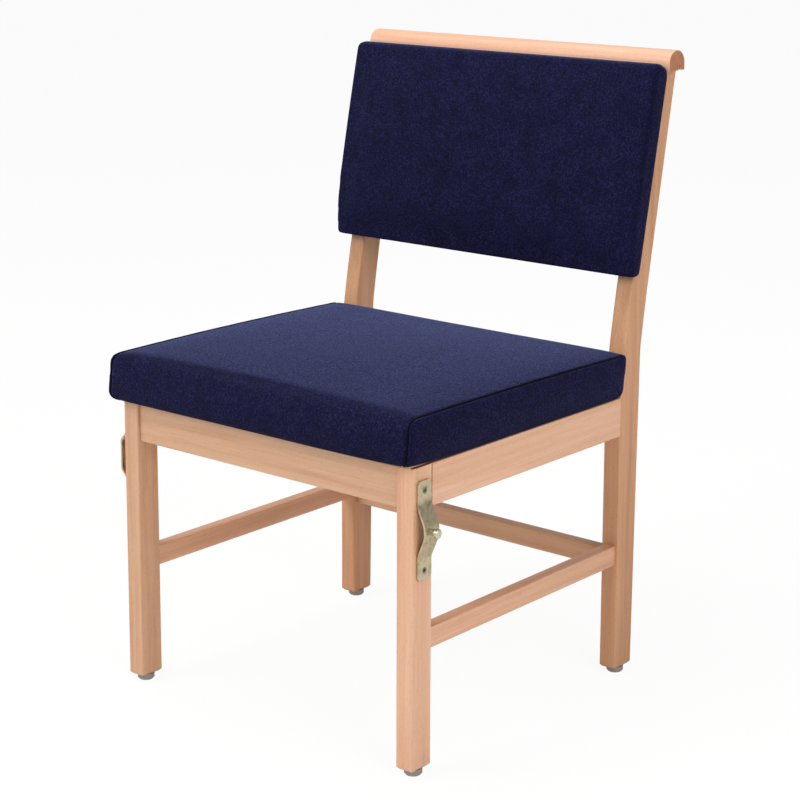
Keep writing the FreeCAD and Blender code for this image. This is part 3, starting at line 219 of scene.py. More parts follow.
# %% Raw wood and plywood
def raw_wood(name, along, pale, deep, seed):
    """Sawn wood with no lacquer: matt, with a rougher relief."""
    material, tree, shader = new_material(name)
    place = add(tree, "ShaderNodeTexCoord").outputs["Object"]
    turned = add(tree, "ShaderNodeMapping", Vector=place, Rotation=GRAIN_TURN[along]).outputs["Vector"]
    drawn = add(tree, "ShaderNodeMapping", Vector=turned, Location=(seed, 0, 0), Scale=(1, 1, 0.05))
    grain = add(
        tree, "ShaderNodeTexNoise", Vector=drawn.outputs["Vector"], Scale=420.0, Detail=4.0, Roughness=0.6
    ).outputs["Fac"]
    tree.links.new(ramp(tree, grain, [(0.3, deep), (0.7, pale)]), shader.inputs["Base Color"])
    bump = add(tree, "ShaderNodeBump", Strength=0.35, Distance=0.0002, Height=grain)
    tree.links.new(bump.outputs["Normal"], shader.inputs["Normal"])
    shader.inputs["Roughness"].default_value = 0.75
    return material


def plywood(name, normal_axis, seed):
    """Birch plywood: sawn faces, and veneers 1.5 mm thick along the edges."""
    material, tree, shader = new_material(name)
    place = add(tree, "ShaderNodeTexCoord").outputs["Object"]
    drawn = add(tree, "ShaderNodeMapping", Vector=place, Location=(seed, 0, 0), Scale=(0.06, 1, 1))
    grain = add(
        tree, "ShaderNodeTexNoise", Vector=drawn.outputs["Vector"], Scale=260.0, Detail=4.0, Roughness=0.6
    ).outputs["Fac"]
    layers = add(
        tree, "ShaderNodeTexWave", {"bands_direction": normal_axis, "wave_profile": "SIN"},
        Vector=place, Scale=2 * math.pi / (20 * 3.0 * MM), Distortion=0.3,
    ).outputs["Fac"]
    face = ramp(tree, grain, [(0.3, "#C7A277"), (0.7, "#DDBE93")])
    edge = ramp(tree, layers, [(0.42, "#A67C50"), (0.58, "#E2C79E")])
    mixed = add(tree, "ShaderNodeMixRGB", {"blend_type": "MULTIPLY"}, Fac=0.35, Color1=face, Color2=edge)
    tree.links.new(mixed.outputs["Color"], shader.inputs["Base Color"])
    shader.inputs["Roughness"].default_value = 0.7
    return material


finish_node("corner_blocks", raw_wood("sawn_beech_blocks", "X", "#DDBB93", "#BE9467", 0.0))
for name in ("seat_rail_dowels", "stretcher_dowels", "top_rail_dowels"):
    finish_node(name, raw_wood("birch_dowel_" + name, "Y", "#E4C9A2", "#CBA77A", 2.0))
finish_node("seat_board", plywood("plywood_seat", "Z", 0.0))
finish_node("back_panel", plywood("plywood_back", "Y", 3.0))
print("raw wood and plywood done")

# %% [markdown]
# ## Plated steel
# The link brackets are mild steel strap, pressed to shape and plated with zinc, then dipped in a yellow
# chromate. The dip leaves a thin film that is straw coloured with patches of pink and green. The film
# follows how each spot was wetted, so a slow noise of about 12 mm moves between the tints. Screws and
# stud have a clear dip instead, which is a cooler grey. A metal keeps the default index of refraction.

# %% Chromated and bright zinc
def zinc(name, stops, rough_low, rough_high, spot, seed):
    """Zinc plate on steel: tints that drift, and a slightly uneven gloss."""
    material, tree, shader = new_material(name)
    place = add(tree, "ShaderNodeTexCoord").outputs["Object"]
    moved = add(tree, "ShaderNodeMapping", Vector=place, Location=(seed, seed, 0)).outputs["Vector"]
    film = add(
        tree, "ShaderNodeTexNoise", Vector=moved, Scale=1 / (spot * MM), Detail=3.0, Roughness=0.55, Distortion=0.6
    ).outputs["Fac"]
    grit = add(tree, "ShaderNodeTexNoise", Vector=moved, Scale=1400.0, Detail=2.0, Roughness=0.6).outputs["Fac"]
    tree.links.new(ramp(tree, film, stops), shader.inputs["Base Color"])
    rough = add(tree, "ShaderNodeMapRange", Value=grit, i1=0.3, i2=0.7, i3=rough_low, i4=rough_high)
    tree.links.new(rough.outputs["Result"], shader.inputs["Roughness"])
    bump = add(tree, "ShaderNodeBump", Strength=0.15, Distance=0.0001, Height=grit)
    tree.links.new(bump.outputs["Normal"], shader.inputs["Normal"])
    shader.inputs["Metallic"].default_value = 1.0
    return material


straw = [(0.30, "#A0987C"), (0.44, "#C0B594"), (0.55, "#CDC0A1"), (0.64, "#C8AE9D"), (0.76, "#ADAE92")]
clear = [(0.35, "#A9A7A0"), (0.60, "#C8C6BD")]
bracket_steel = zinc("zinc_plated_steel_yellow_dip", straw, 0.30, 0.46, 12.0, 0.0)
stud_steel = zinc("zinc_plated_steel_stud", [(0.35, "#BDB69E"), (0.62, "#D6D0BC")], 0.26, 0.38, 9.0, 0.4)
screw_steel = zinc("zinc_plated_steel_clear_dip", clear, 0.28, 0.42, 6.0, 0.9)
finish_node("link_stud_bracket", bracket_steel)
finish_node("link_slot_bracket", bracket_steel)
finish_node("link_stud", stud_steel)
# the link screws get a darker zinc all over: painted shade that stands in for the dark cross recesses of their heads
painted_recess_shade = [(0.35, "#625E55"), (0.60, "#918C80")]
finish_node("link_screws", zinc("zinc_plated_steel_dulled", painted_recess_shade, 0.34, 0.50, 4.0, 1.3))
for name in ("corner_block_screws", "seat_board_screws", "back_panel_screws", "glide_nails"):
    finish_node(name, screw_steel)
print("plated: brackets, stud and all screws")

# %% [markdown]
# ## Moulded nylon glides
# The glides are moulded in grey nylon. Moulding leaves an even, faintly grained skin. The soles are
# scuffed by the floor, so they are a little rougher and paler than the sides.

# %% Grey nylon
def nylon(name):
    """Moulded nylon with a fine skin, scuffed within a millimetre of the floor."""
    material, tree, shader = new_material(name)
    place = add(tree, "ShaderNodeTexCoord").outputs["Object"]
    skin = add(tree, "ShaderNodeTexNoise", Vector=place, Scale=1600.0, Detail=2.0).outputs["Fac"]
    height = add(tree, "ShaderNodeSeparateXYZ", Vector=place).outputs["Z"]
    sole = add(tree, "ShaderNodeMapRange", Value=height, i1=0.0003, i2=0.0028, i3=1.0, i4=0.0).outputs["Result"]
    colour = add(tree, "ShaderNodeMixRGB", Fac=sole, Color1=linear("#96918F"), Color2=linear("#B0ABA6"))
    tree.links.new(colour.outputs["Color"], shader.inputs["Base Color"])
    rough = add(tree, "ShaderNodeMapRange", Value=sole, i1=0.0, i2=1.0, i3=0.42, i4=0.7)
    tree.links.new(rough.outputs["Result"], shader.inputs["Roughness"])
    bump = add(tree, "ShaderNodeBump", Strength=0.2, Distance=0.00008, Height=skin)
    tree.links.new(bump.outputs["Normal"], shader.inputs["Normal"])
    shader.inputs["IOR"].default_value = 1.53
    return material


grey_nylon = nylon("moulded_nylon_grey")
for name in ("glide_front_left", "glide_front_right", "glide_back_left", "glide_back_right"):
    finish_node(name, grey_nylon)
print("glides: grey nylon")

# %% [markdown]
# ## Navy wool cloth
# The cover is a felted wool upholstery cloth in navy. Its threads are about 1 mm apart, but the felting
# hides most of the weave: the eye sees a melange of dark and lighter blue fibres and a soft nap. The
# nap is why the seat looks pale when it is seen at a low angle, and that is what sheen does. The
# pattern is a pair of noises, a thread-sized one and one of fibre tufts, in the chair's own space, so
# no seam of a UV map can show.

# %% Felted wool
def wool(name, dark, mid, pale, sheen, nap=(0.34, 1.0)):
    """Felted wool cloth with a melange of fibres and a nap that is thinner between the tufts."""
    material, tree, shader = new_material(name)
    place = add(tree, "ShaderNodeTexCoord").outputs["Object"]
    # tufts 2.6 mm across, drawn coarser than the real ones of 1.5 mm so that they show
    tufts = add(tree, "ShaderNodeTexNoise", Vector=place, Scale=390.0, Detail=5.0, Roughness=0.72).outputs["Fac"]
    threads = add(tree, "ShaderNodeTexVoronoi", {"feature": "F1"}, Vector=place, Scale=900.0).outputs["Distance"]
    patches = add(tree, "ShaderNodeTexNoise", Vector=place, Scale=38.0, Detail=3.0, Roughness=0.6).outputs["Fac"]
    figure = add(tree, "ShaderNodeMath", {"operation": "MULTIPLY_ADD"}, i0=tufts, i1=0.84)
    tree.links.new(
        add(tree, "ShaderNodeMath", {"operation": "MULTIPLY"}, i0=patches, i1=0.16).outputs["Value"],
        figure.inputs[2],
    )
    colour = ramp(tree, figure.outputs["Value"], [(0.38, dark), (0.50, mid), (0.62, pale)])
    tree.links.new(colour, shader.inputs["Base Color"])
    relief = add(tree, "ShaderNodeMath", {"operation": "MULTIPLY_ADD"}, i0=threads, i1=0.6)
    tree.links.new(tufts, relief.inputs[2])
    bump = add(tree, "ShaderNodeBump", Strength=0.55, Distance=0.0006, Height=relief.outputs["Value"])
    tree.links.new(bump.outputs["Normal"], shader.inputs["Normal"])
    shader.inputs["Roughness"].default_value = 0.92
    shader.inputs["Specular IOR Level"].default_value = 0.10
    raised = add(
        tree, "ShaderNodeMapRange", Value=tufts, i1=0.35, i2=0.60, i3=nap[0], i4=nap[1]
    ).outputs["Result"]
    # the sheen fades out on faces that look down: painted shade that takes away the rim of light the white floor
    # gives the lower edges, together with the nap pressed flat where the cloth is pulled underneath
    facing = add(tree, "ShaderNodeSeparateXYZ", Vector=add(tree, "ShaderNodeNewGeometry").outputs["Normal"])
    upright = add(tree, "ShaderNodeMapRange", Value=facing.outputs["Z"], i1=-0.45, i2=-0.08, i3=0.0, i4=1.0)
    free = add(tree, "ShaderNodeMath", {"operation": "MULTIPLY"}, i0=raised, i1=upright.outputs["Result"])
    tree.links.new(free.outputs["Value"], shader.inputs["Sheen Weight"])
    shader.inputs["Sheen Roughness"].default_value = 0.30
    shader.inputs["Sheen Tint"].default_value = linear(sheen)
    return material


navy_wool = wool("felted_wool_navy", "#08071D", "#0F0E2C", "#1F1E46", "#8794D4")
# the seam rolls are the same cloth made much darker and with almost no sheen: painted shade of the groove that each
# seam pulls into the cover
seam_roll_painted_shade = wool("felted_wool_navy_seam", "#040310", "#070616", "#0C0B22", "#6E79B8", nap=(0.0, 0.05))
print("cloth:", navy_wool.name)

# %% [markdown]
# ## The shape of a cushion
# A box cushion can be drawn as its side view, pushed across the width and rounded at both ends. The
# side view is a few lines and arcs. Each arc is given by three points, as a pattern maker would draw
# it, so the functions here turn three points into an arc and a side view into rings of points. Rings
# joined by faces make a closed blank, which is then remeshed evenly for the cloth simulation.

# %% Arcs, rings and the blank
def arc(start, through, end, count):
    """Points on the arc from start through a third point to end, without the last one."""
    ax, ay = start
    bx, by = through
    cx, cy = end
    d = 2 * (ax * (by - cy) + bx * (cy - ay) + cx * (ay - by))
    a2, b2, c2 = ax * ax + ay * ay, bx * bx + by * by, cx * cx + cy * cy
    ux = (a2 * (by - cy) + b2 * (cy - ay) + c2 * (ay - by)) / d
    uy = (a2 * (cx - bx) + b2 * (ax - cx) + c2 * (bx - ax)) / d
    radius = math.hypot(ax - ux, ay - uy)
    first, last = math.atan2(ay - uy, ax - ux), math.atan2(cy - uy, cx - ux)
    turn = last - first
    side = (bx - ax) * (cy - ay) - (by - ay) * (cx - ax)
    if side > 0 and turn < 0:
        turn += 2 * math.pi
    if side < 0 and turn > 0:
        turn -= 2 * math.pi
    angles = [first + turn * step / count for step in range(count)]
    return [(ux + radius * math.cos(a), uy + radius * math.sin(a)) for a in angles]


def ring_of(corners, through, count=12):
    """A closed side view as points: lines and arcs, count points on each edge."""
    points = []
    for index, start in enumerate(corners):
        end = corners[(index + 1) % len(corners)]
        if index in through:
            points += arc(start, through[index], end, count)
        else:
            points += [
                (start[0] + (end[0] - start[0]) * s / count, start[1] + (end[1] - start[1]) * s / count)
                for s in range(count)
            ]
    return points


def cushion_blank(name, half, corner, view):
    """A closed mesh in metres, from a side view in mm that is carried across the width."""
    stations = [(half - corner + corner * math.cos(a), 1 - math.sin(a)) for a in
                [math.radians(step) for step in (0, 15, 30, 45, 60, 75, 90)]]
    inner = half - corner
    stations += [(inner * share, 0.0) for share in (0.9, 0.75, 0.5, 0.25, 0.0)]
    stations += [(-x, inset) for x, inset in reversed(stations[:-1])]
    mesh = bmesh.new()
    rings = []
    for x, inset in stations:
        crown = 1 - (x / half) ** 2
        corners, through = view(inset, crown)
        rings.append([mesh.verts.new(Vector((x * MM, u * MM, v * MM))) for u, v in ring_of(corners, through)])
    for first, second in zip(rings, rings[1:]):
        for index in range(len(first)):
            after = (index + 1) % len(first)
            mesh.faces.new((first[index], first[after], second[after], second[index]))
    mesh.faces.new(list(reversed(rings[0])))
    mesh.faces.new(rings[-1])
    bmesh.ops.recalc_face_normals(mesh, faces=mesh.faces)
    data = bpy.data.meshes.new(name)
    mesh.to_mesh(data)
    mesh.free()
    made = bpy.data.objects.new(name, data)
    bpy.context.scene.collection.objects.link(made)
    return made


def apply_modifiers(thing):
    """Replaces an object's mesh by what its modifiers make of it."""
    graph = bpy.context.evaluated_depsgraph_get()
    graph.update()
    made = bpy.data.meshes.new_from_object(thing.evaluated_get(graph))
    old = thing.data
    thing.modifiers.clear()
    thing.data = made
    bpy.data.meshes.remove(old)
    made.name = thing.name
    return thing


def remesh(thing, voxel_mm):
    """Gives the blank an even skin of square cells."""
    modifier = thing.modifiers.new("even_skin", "REMESH")
    modifier.mode = "VOXEL"
    modifier.voxel_size = voxel_mm * MM
    apply_modifiers(thing)
    print(thing.name, "has", len(thing.data.vertices), "points after remeshing")


print("cushion helpers ready")

# %% [markdown]
# ## Filling the cushions
# Foam pushes its cover outwards everywhere except where it is sewn or stapled. Cloth simulation does
# just that: the skin is cloth, a little air pressure fills it, gravity is off, and the points along
# seams and on the board are pinned. Twenty steps are enough to settle. How far a point may move is
# capped, because foam of this density barely stretches its cover. Then small puckers are added along
# each seam, where the thread gathers the cloth.

# %% Pressure, cap and puckers
from mathutils import kdtree, noise


SEWN_REACH = 7 * MM  # how far from a seam the thread still holds the cloth
SETTLE_STEPS = 20
GATHER_REACH = 22  # mm from a seam


def near_tree(paths):
    """A search tree over the points of some paths."""
    points = [point for path in paths for point in path]
    tree = kdtree.KDTree(len(points))
    for index, point in enumerate(points):
        tree.insert(point, index)
    tree.balance()
    return tree


def fill_with_foam(thing, seams, is_held, cap_mm, freedom=lambda point: 1.0, pressure=4.0):
    """Swells the skin by cloth simulation; points near a seam or held by the board stay.

    freedom gives the share of the swelling that a point keeps: stiff edges keep less.
    """
    tree = near_tree(seams)
    mesh = thing.data
    rest = [vertex.co.copy() for vertex in mesh.vertices]
    pins = thing.vertex_groups.new(name="sewn")
    for vertex in mesh.vertices:
        away = tree.find(vertex.co)[2]
        if is_held(vertex.co):
            pins.add([vertex.index], 1.0, "REPLACE")
        elif away < SEWN_REACH:
            pins.add([vertex.index], 1.0 - (away / SEWN_REACH) ** 2 * 0.6, "REPLACE")
    cloth = thing.modifiers.new("foam", "CLOTH")
    settings = cloth.settings
    settings.quality = 6
    settings.mass = 0.25
    settings.tension_stiffness = 12
    settings.compression_stiffness = 12
    settings.bending_stiffness = 1.5
    settings.use_pressure = True
    settings.uniform_pressure_force = pressure
    settings.vertex_group_mass = "sewn"
    settings.effector_weights.gravity = 0
    cloth.point_cache.frame_start = 1
    cloth.point_cache.frame_end = SETTLE_STEPS
    for step in range(1, SETTLE_STEPS + 1):
        bpy.context.scene.frame_set(step)
    graph = bpy.context.evaluated_depsgraph_get()
    swollen = thing.evaluated_get(graph).to_mesh()
    moved = [vertex.co.copy() for vertex in swollen.vertices]
    thing.evaluated_get(graph).to_mesh_clear()
    thing.modifiers.clear()
    thing.vertex_groups.clear()
    bpy.context.scene.frame_set(1)
    cap = cap_mm * MM
    furthest = 0.0
    for vertex, start, end in zip(mesh.vertices, rest, moved):
        step = end - start
        if step.length > 1e-9:
            step = step * (freedom(start) * cap * math.tanh(step.length / cap) / step.length)
        furthest = max(furthest, step.length)
        vertex.co = start + step
    print(thing.name, "swelled by up to", round(furthest / MM, 2), "mm")


def soften(thing, levels=1):
    """One subdivision, applied."""
    modifier = thing.modifiers.new("finer", "SUBSURF")
    modifier.levels = levels
    modifier.render_levels = levels
    apply_modifiers(thing)


def sew(thing, seams, depth_mm, width_mm, pucker_mm):
    """Pulls a groove into the skin along the seams, with puckers beside it."""
    tree = near_tree(seams)
    mesh = thing.data
    normals = [vertex.normal.copy() for vertex in mesh.vertices]
    for vertex, normal in zip(mesh.vertices, normals):
        away = tree.find(vertex.co)[2] / MM
        if away < GATHER_REACH:
            groove = depth_mm * math.exp(-((away / width_mm) ** 2))
            ripple = noise.noise(vertex.co * 75.0) * pucker_mm * math.exp(-(((away - 5) / 7) ** 2))
            vertex.co = vertex.co + normal * ((ripple - groove) * MM)
    mesh.update()


def smooth_skin(thing, material):
    """Smooth shading and one material."""
    thing.data.shade_smooth()
    thing.data.materials.clear()
    thing.data.materials.append(material)


print("filling helpers ready")

# %% [markdown]
# ## The seat cushion
# The top cloth runs forward over the rounded front edge and down the front, so the front has no seam
# along it. A side panel closes each end. Its seam follows the top edge, turns down sharply at the front
# and runs down the corner. Underneath, the cloth is pulled round the lower edges, which draws them in
# by some 9 mm, and stapled to the plywood board, which leaves the board bare in the middle.

# %% Seat: side view and seam
SEAT_BASE, SEAT_SEAM = 378.4, 440.3
SEAT_FRONT, SEAT_REAR = -276.5, 160.0
SEAT_HALF, SEAT_CORNER = 250.2, 4.5
SEAT_TUCK, SEAT_ROLL, SEAT_LEAN, SEAT_REAR_LEAN = 3.0, 17.0, 3.5, 8.0
SEAT_REAR_DROP = 3.0
UNDER_IN, UNDER_UP, CORNER_LIFT = 9.5, 14.0, 3.0
EDGE_POINTS, TOP_POINTS = 40, 120  # along one edge of the side view, and along the top of a seam


def seat_view(inset, crown):
    """The seat's side view in mm; inset is 0 to 1 round an end, crown 0 to 1 towards the middle."""
    near = SEAT_FRONT + 0.6 + inset * SEAT_CORNER
    far = SEAT_REAR - 0.4 - inset * SEAT_CORNER
    low = SEAT_BASE + inset * inset * SEAT_TUCK
    high = SEAT_SEAM - 0.4 - inset * inset * SEAT_TUCK
    corners = [
        (near + SEAT_TUCK * 2, low),
        (far - SEAT_REAR_LEAN * 0.5, low),
        (far + SEAT_REAR_LEAN * 0.5, high - SEAT_REAR_DROP),
        (near + SEAT_ROLL, high),
        (near + SEAT_LEAN, high - SEAT_ROLL),
        (near, low + 9.0),
    ]
    through = {
        2: ((near + far) / 2, high + 0.4 + 5.0 * crown),
        3: (near + SEAT_LEAN + (SEAT_ROLL - SEAT_LEAN) * 0.29, high - SEAT_ROLL * 0.29),
        5: (near + SEAT_TUCK * 0.7, low + SEAT_TUCK * 0.7),
    }
    return corners, through


def drawn_under(x, y, z):
    """Where a point of the seat goes when the cloth is pulled under the board; corners are drawn in most."""
    low = min(1.0, max(0.0, (SEAT_BASE + UNDER_UP - z) / UNDER_UP))
    share_x = x / SEAT_HALF
    share_y = (2 * y - SEAT_FRONT - SEAT_REAR) / (SEAT_REAR - SEAT_FRONT)
    corner = min(1.0, abs(share_x * share_y)) ** 4
    if x < 0 or y > 0:
        corner *= 0.1  # the front corner on the sitter's left is pulled in most
    pull = UNDER_IN * (1 - math.sqrt(1 - low * low))
    pull_x = pull * (1 + 0.9 * corner)
    pull_y = pull * (1 + 0.3 * corner)
    return Vector((x - pull_x * share_x, y - pull_y * share_y, z + CORNER_LIFT * corner * low))


def seat_seam(side):
    """The seam round a side panel: up the front corner, along the top edge, down the rear corner."""
    corners, through = seat_view(0.0, 0.0)
    ring = ring_of(corners, through, EDGE_POINTS)
    front = list(reversed(ring[3 * EDGE_POINTS : 6 * EDGE_POINTS]))
    # the ring runs down the front, so reversed it climbs from the base to the top edge
    path = []
    for y, z in front:
        climb = min(1.0, max(0.0, (z - 424.0) / 15.0))
        path.append((SEAT_HALF - 5.5 - 1.0 * climb, y, z))
    top_y = path[-1][1]
    for step in range(1, TOP_POINTS):
        y = top_y + (SEAT_REAR + 3.0 - top_y) * step / TOP_POINTS
        z = SEAT_SEAM - 0.3 - SEAT_REAR_DROP * step / TOP_POINTS
        path.append((SEAT_HALF - 6.0 + 2.0 * step / TOP_POINTS, y, z))
    for step in range(24):
        share = step / 23
        path.append((SEAT_HALF - 4.0 - 3.4 * min(1.0, share * 4), SEAT_REAR + 4 - 8 * share, 436.5 - 57 * share))
    return [drawn_under(side * x, y, z) * MM for x, y, z in path]


seat_seams = [seat_seam(side) for side in (1, -1)]
seat = cushion_blank("seat_cushion", SEAT_HALF, SEAT_CORNER, seat_view)
remesh(seat, 4.2)
for vertex in seat.data.vertices:
    vertex.co = drawn_under(*(vertex.co / MM)) * MM
print("seat seam length:", round(sum((b - a).length for a, b in zip(seat_seams[0], seat_seams[0][1:])), 3), "m")

# %% Seat: fill, sew and turn the cloth under the board
BOARD_WINDOW = ((-206.0, 206.0), (-232.5, 116.0))
BARE_BOARD = 389.2
UPRIGHT_FRONT, UPRIGHT_BEND = 163.0, 385.0


def held_by_board(point):
    return point.z < (SEAT_BASE + 2.5) * MM


fill_with_foam(seat, seat_seams, held_by_board, cap_mm=3.4)
soften(seat)
sew(seat, seat_seams, depth_mm=1.9, width_mm=2.3, pucker_mm=0.35)
(low_x, high_x), (low_y, high_y) = BOARD_WINDOW
for vertex in seat.data.vertices:
    x, y, z = vertex.co / MM
    vertex.co.z = max(vertex.co.z, (SEAT_BASE - 0.05) * MM)
    if z < SEAT_BASE + 3 and low_x < x < high_x and low_y < y < high_y:
        vertex.co.z = BARE_BOARD * MM
    if y > SEAT_REAR - 12:
        # the rear face stays just clear of the uprights, which lean back with it
        limit = UPRIGHT_FRONT - 0.6 + max(0.0, z - UPRIGHT_BEND) * 0.13
        vertex.co.y = min(vertex.co.y, limit * MM)
smooth_skin(seat, navy_wool)
print("seat cushion:", len(seat.data.polygons), "faces")

# %% [markdown]
# ## The back cushion
# The back cushion is one panel of foam on plywood, screwed to the front of the uprights and leaning
# with them. Its cloth wraps round all four edges to the rear, so the front shows no seam at all. The
# bottom edge is thinner, with the front face drawn back to it. Behind, a closing panel is sewn on by
# hand, 8 mm in from the sides and a little more at the top and bottom.

# %% Back: side view in the lean of the uprights
LEAN = math.atan((79.5 - 26.0) / (793.0 - 545.0))
PAD_ORIGIN = (UPRIGHT_FRONT + 26.0, 545.0)
PAD_HALF, PAD_CORNER = 250.6, 6.0
PAD_LOW, PAD_HIGH = -13.4, 260.9
PAD_DEPTH, PAD_LOW_DEPTH, PAD_TAPER, PAD_TUCK = 32.5, 20.5, 95.0, 2.5


def pad_view(inset, crown):
    """The back cushion's side view in mm: u is behind the uprights' fronts, v is up the lean."""
    rear = -(0.6 + inset * inset * PAD_TUCK * 0.5)
    face = -(0.3 + PAD_DEPTH - 0.4 - inset * inset * PAD_TUCK)
    thin = -(0.3 + PAD_LOW_DEPTH - 0.3 - inset * inset * PAD_TUCK * 0.5)
    low = PAD_LOW + 0.5 + inset * PAD_CORNER
    high = PAD_HIGH - 0.5 - inset * PAD_CORNER
    corners = [
        (thin, low),
        (rear, low + PAD_TUCK),
        (rear, high - 10.0),
        (face, high - 6.0),
        (face, low + PAD_TAPER),
    ]
    through = {
        0: ((thin + rear) / 2, low),
        2: (rear * 0.4 + face * 0.6, high),
        3: (face - 0.6 - 3.2 * crown, (low + high + PAD_TAPER * 0.5) / 2),
        4: (thin * 0.4 + face * 0.6 - 1.0, low + PAD_TAPER * 0.4),
    }
    return corners, through


def pad_to_chair(x, u, v):
    y = PAD_ORIGIN[0] + u * math.cos(LEAN) + v * math.sin(LEAN)
    z = PAD_ORIGIN[1] - u * math.sin(LEAN) + v * math.cos(LEAN)
    return Vector((x * MM, y * MM, z * MM))


def pad_from_chair(point):
    """A chair point back in the cushion's own leaning frame, in mm."""
    y, z = point.y / MM - PAD_ORIGIN[0], point.z / MM - PAD_ORIGIN[1]
    return point.x / MM, y * math.cos(LEAN) - z * math.sin(LEAN), y * math.sin(LEAN) + z * math.cos(LEAN)


def closing_seam():
    """The rounded rectangle of the hand-sewn seam on the rear face."""
    half, low, high, radius = PAD_HALF - 8.0, PAD_LOW + 11.0, PAD_HIGH - 19.0, 12.0
    path = []
    for cx, cz, first in (
        (half - radius, high - radius, 0), (radius - half, high - radius, 90),
        (radius - half, low + radius, 180), (half - radius, low + radius, 270),
    ):
        for step in range(0, 91, 6):
            angle = math.radians(first + step)
            path.append((cx + radius * math.cos(angle), cz + radius * math.sin(angle)))
    path.append(path[0])
    filled = []
    for (ax, az), (bx, bz) in zip(path, path[1:]):
        count = max(1, int(math.hypot(bx - ax, bz - az) / 4))
        filled += [(ax + (bx - ax) * s / count, az + (bz - az) * s / count) for s in range(count)]
    filled.append(path[0])
    return [pad_to_chair(x, -0.6, v) for x, v in filled]


pad_seam = closing_seam()
# it is remeshed standing straight, so that the cells run along its edges, and leaned back after that
pad = cushion_blank("back_cushion", PAD_HALF, PAD_CORNER, pad_view)
remesh(pad, 4.0)
for vertex in pad.data.vertices:
    vertex.co = pad_to_chair(*(vertex.co / MM))


def held_by_panel(point):
    return pad_from_chair(point)[1] > -4.0


def away_from_edges(point):
    """0 at the cushion's outline, where the panel keeps it straight, to 1 from 45 mm inside it."""
    x, u, v = pad_from_chair(point)
    inside = min(PAD_HALF - abs(x), v - PAD_LOW, PAD_HIGH - v)
    share = min(1.0, max(0.0, (inside - 3.0) / 42.0))
    return share * share * (3 - 2 * share)


fill_with_foam(pad, [pad_seam], held_by_panel, cap_mm=2.8, freedom=away_from_edges)
soften(pad)
sew(pad, [pad_seam], depth_mm=0.9, width_mm=2.2, pucker_mm=0.08)
for vertex in pad.data.vertices:
    x, u, v = pad_from_chair(vertex.co)
    if v > 240.0 and u > -7.0:
        # the top rail stands a little in front of the uprights
        u = min(u, -0.6 - 5.4 * min(1.0, (v - 240.0) / 11.0))
    u = min(u, -0.45)
    vertex.co = pad_to_chair(x, u, v)
smooth_skin(pad, navy_wool)
print("back cushion:", len(pad.data.polygons), "faces")

# %% [markdown]
# ## Seams, staples and stitches with Geometry Nodes
# A sewn edge shows as a thin roll of cloth. It follows a path, so it is made with nodes: the path
# becomes a curve, a small circle is swept along it, and the result gets the cloth. The staples under
# the seat repeat along a path, so a second tree sets a staple every few centimetres, each turned along
# the edge. Both trees end in Set Material, and the result is taken as a plain mesh.

# %% The seam tree
from mathutils.bvhtree import BVHTree


def set_input(modifier, tree, name, value):
    """Sets a modifier's input by its socket's identifier."""
    for item in tree.interface.items_tree:
        if item.item_type == "SOCKET" and item.in_out == "INPUT" and item.name == name:
            modifier[item.identifier] = value


def new_tree(name, inputs):
    """A geometry tree with a mesh in, a mesh out and named inputs."""
    tree = bpy.data.node_groups.new(name, "GeometryNodeTree")
    tree.interface.new_socket("Geometry", in_out="INPUT", socket_type="NodeSocketGeometry")
    for label, kind, value in inputs:
        socket = tree.interface.new_socket(label, in_out="INPUT", socket_type=kind)
        if value is not None:
            socket.default_value = value
    tree.interface.new_socket("Geometry", in_out="OUTPUT", socket_type="NodeSocketGeometry")
    return tree, tree.nodes.new("NodeGroupInput"), tree.nodes.new("NodeGroupOutput")


def grow(name, path, tree, values):
    """A plain mesh grown by a tree from a path of points."""
    data = bpy.data.meshes.new(name)
    data.from_pydata([tuple(p) for p in path], [(i, i + 1) for i in range(len(path) - 1)], [])
    made = bpy.data.objects.new(name, data)
    bpy.context.scene.collection.objects.link(made)
    modifier = made.modifiers.new("grow", "NODES")
    modifier.node_group = tree
    for label, value in values.items():
        set_input(modifier, tree, label, value)
    return apply_modifiers(made)


seam_tree, given, result = new_tree("sewn_roll", [
    ("Radius", "NodeSocketFloat", 0.0008), ("Step", "NodeSocketFloat", 0.003), ("Cloth", "NodeSocketMaterial", None),
])
line = add(seam_tree, "GeometryNodeMeshToCurve", Mesh=given.outputs["Geometry"])
even = add(seam_tree, "GeometryNodeResampleCurve", Curve=line.outputs["Curve"])
even.mode = "LENGTH"
seam_tree.links.new(given.outputs["Step"], even.inputs["Length"])
circle = add(seam_tree, "GeometryNodeCurvePrimitiveCircle", Resolution=8, Radius=given.outputs["Radius"])
roll = add(
    seam_tree, "GeometryNodeCurveToMesh", Curve=even.outputs["Curve"], i1=circle.outputs["Curve"],
)
roll.inputs["Fill Caps"].default_value = True
single = add(seam_tree, "GeometryNodeRealizeInstances", Geometry=roll.outputs["Mesh"])
dressed = add(
    seam_tree, "GeometryNodeSetMaterial", Geometry=single.outputs["Geometry"],
    Material=given.outputs["Cloth"],
)
seam_tree.links.new(dressed.outputs["Geometry"], result.inputs["Geometry"])


def on_skin(thing, path, lift_mm):
    """The path laid on a cushion's skin, lifted a little along it."""
    mesh = thing.data
    skin = BVHTree.FromPolygons([v.co for v in mesh.vertices], [p.vertices[:] for p in mesh.polygons])
    laid = []
    for point in path:
        spot, normal = skin.find_nearest(point)[:2]
        laid.append(spot + normal * lift_mm * MM)
    for _ in range(3):
        middle = [(a + b * 2 + c) / 4 for a, b, c in zip(laid, laid[1:], laid[2:])]
        laid = [laid[0]] + middle + [laid[-1]]
    return laid


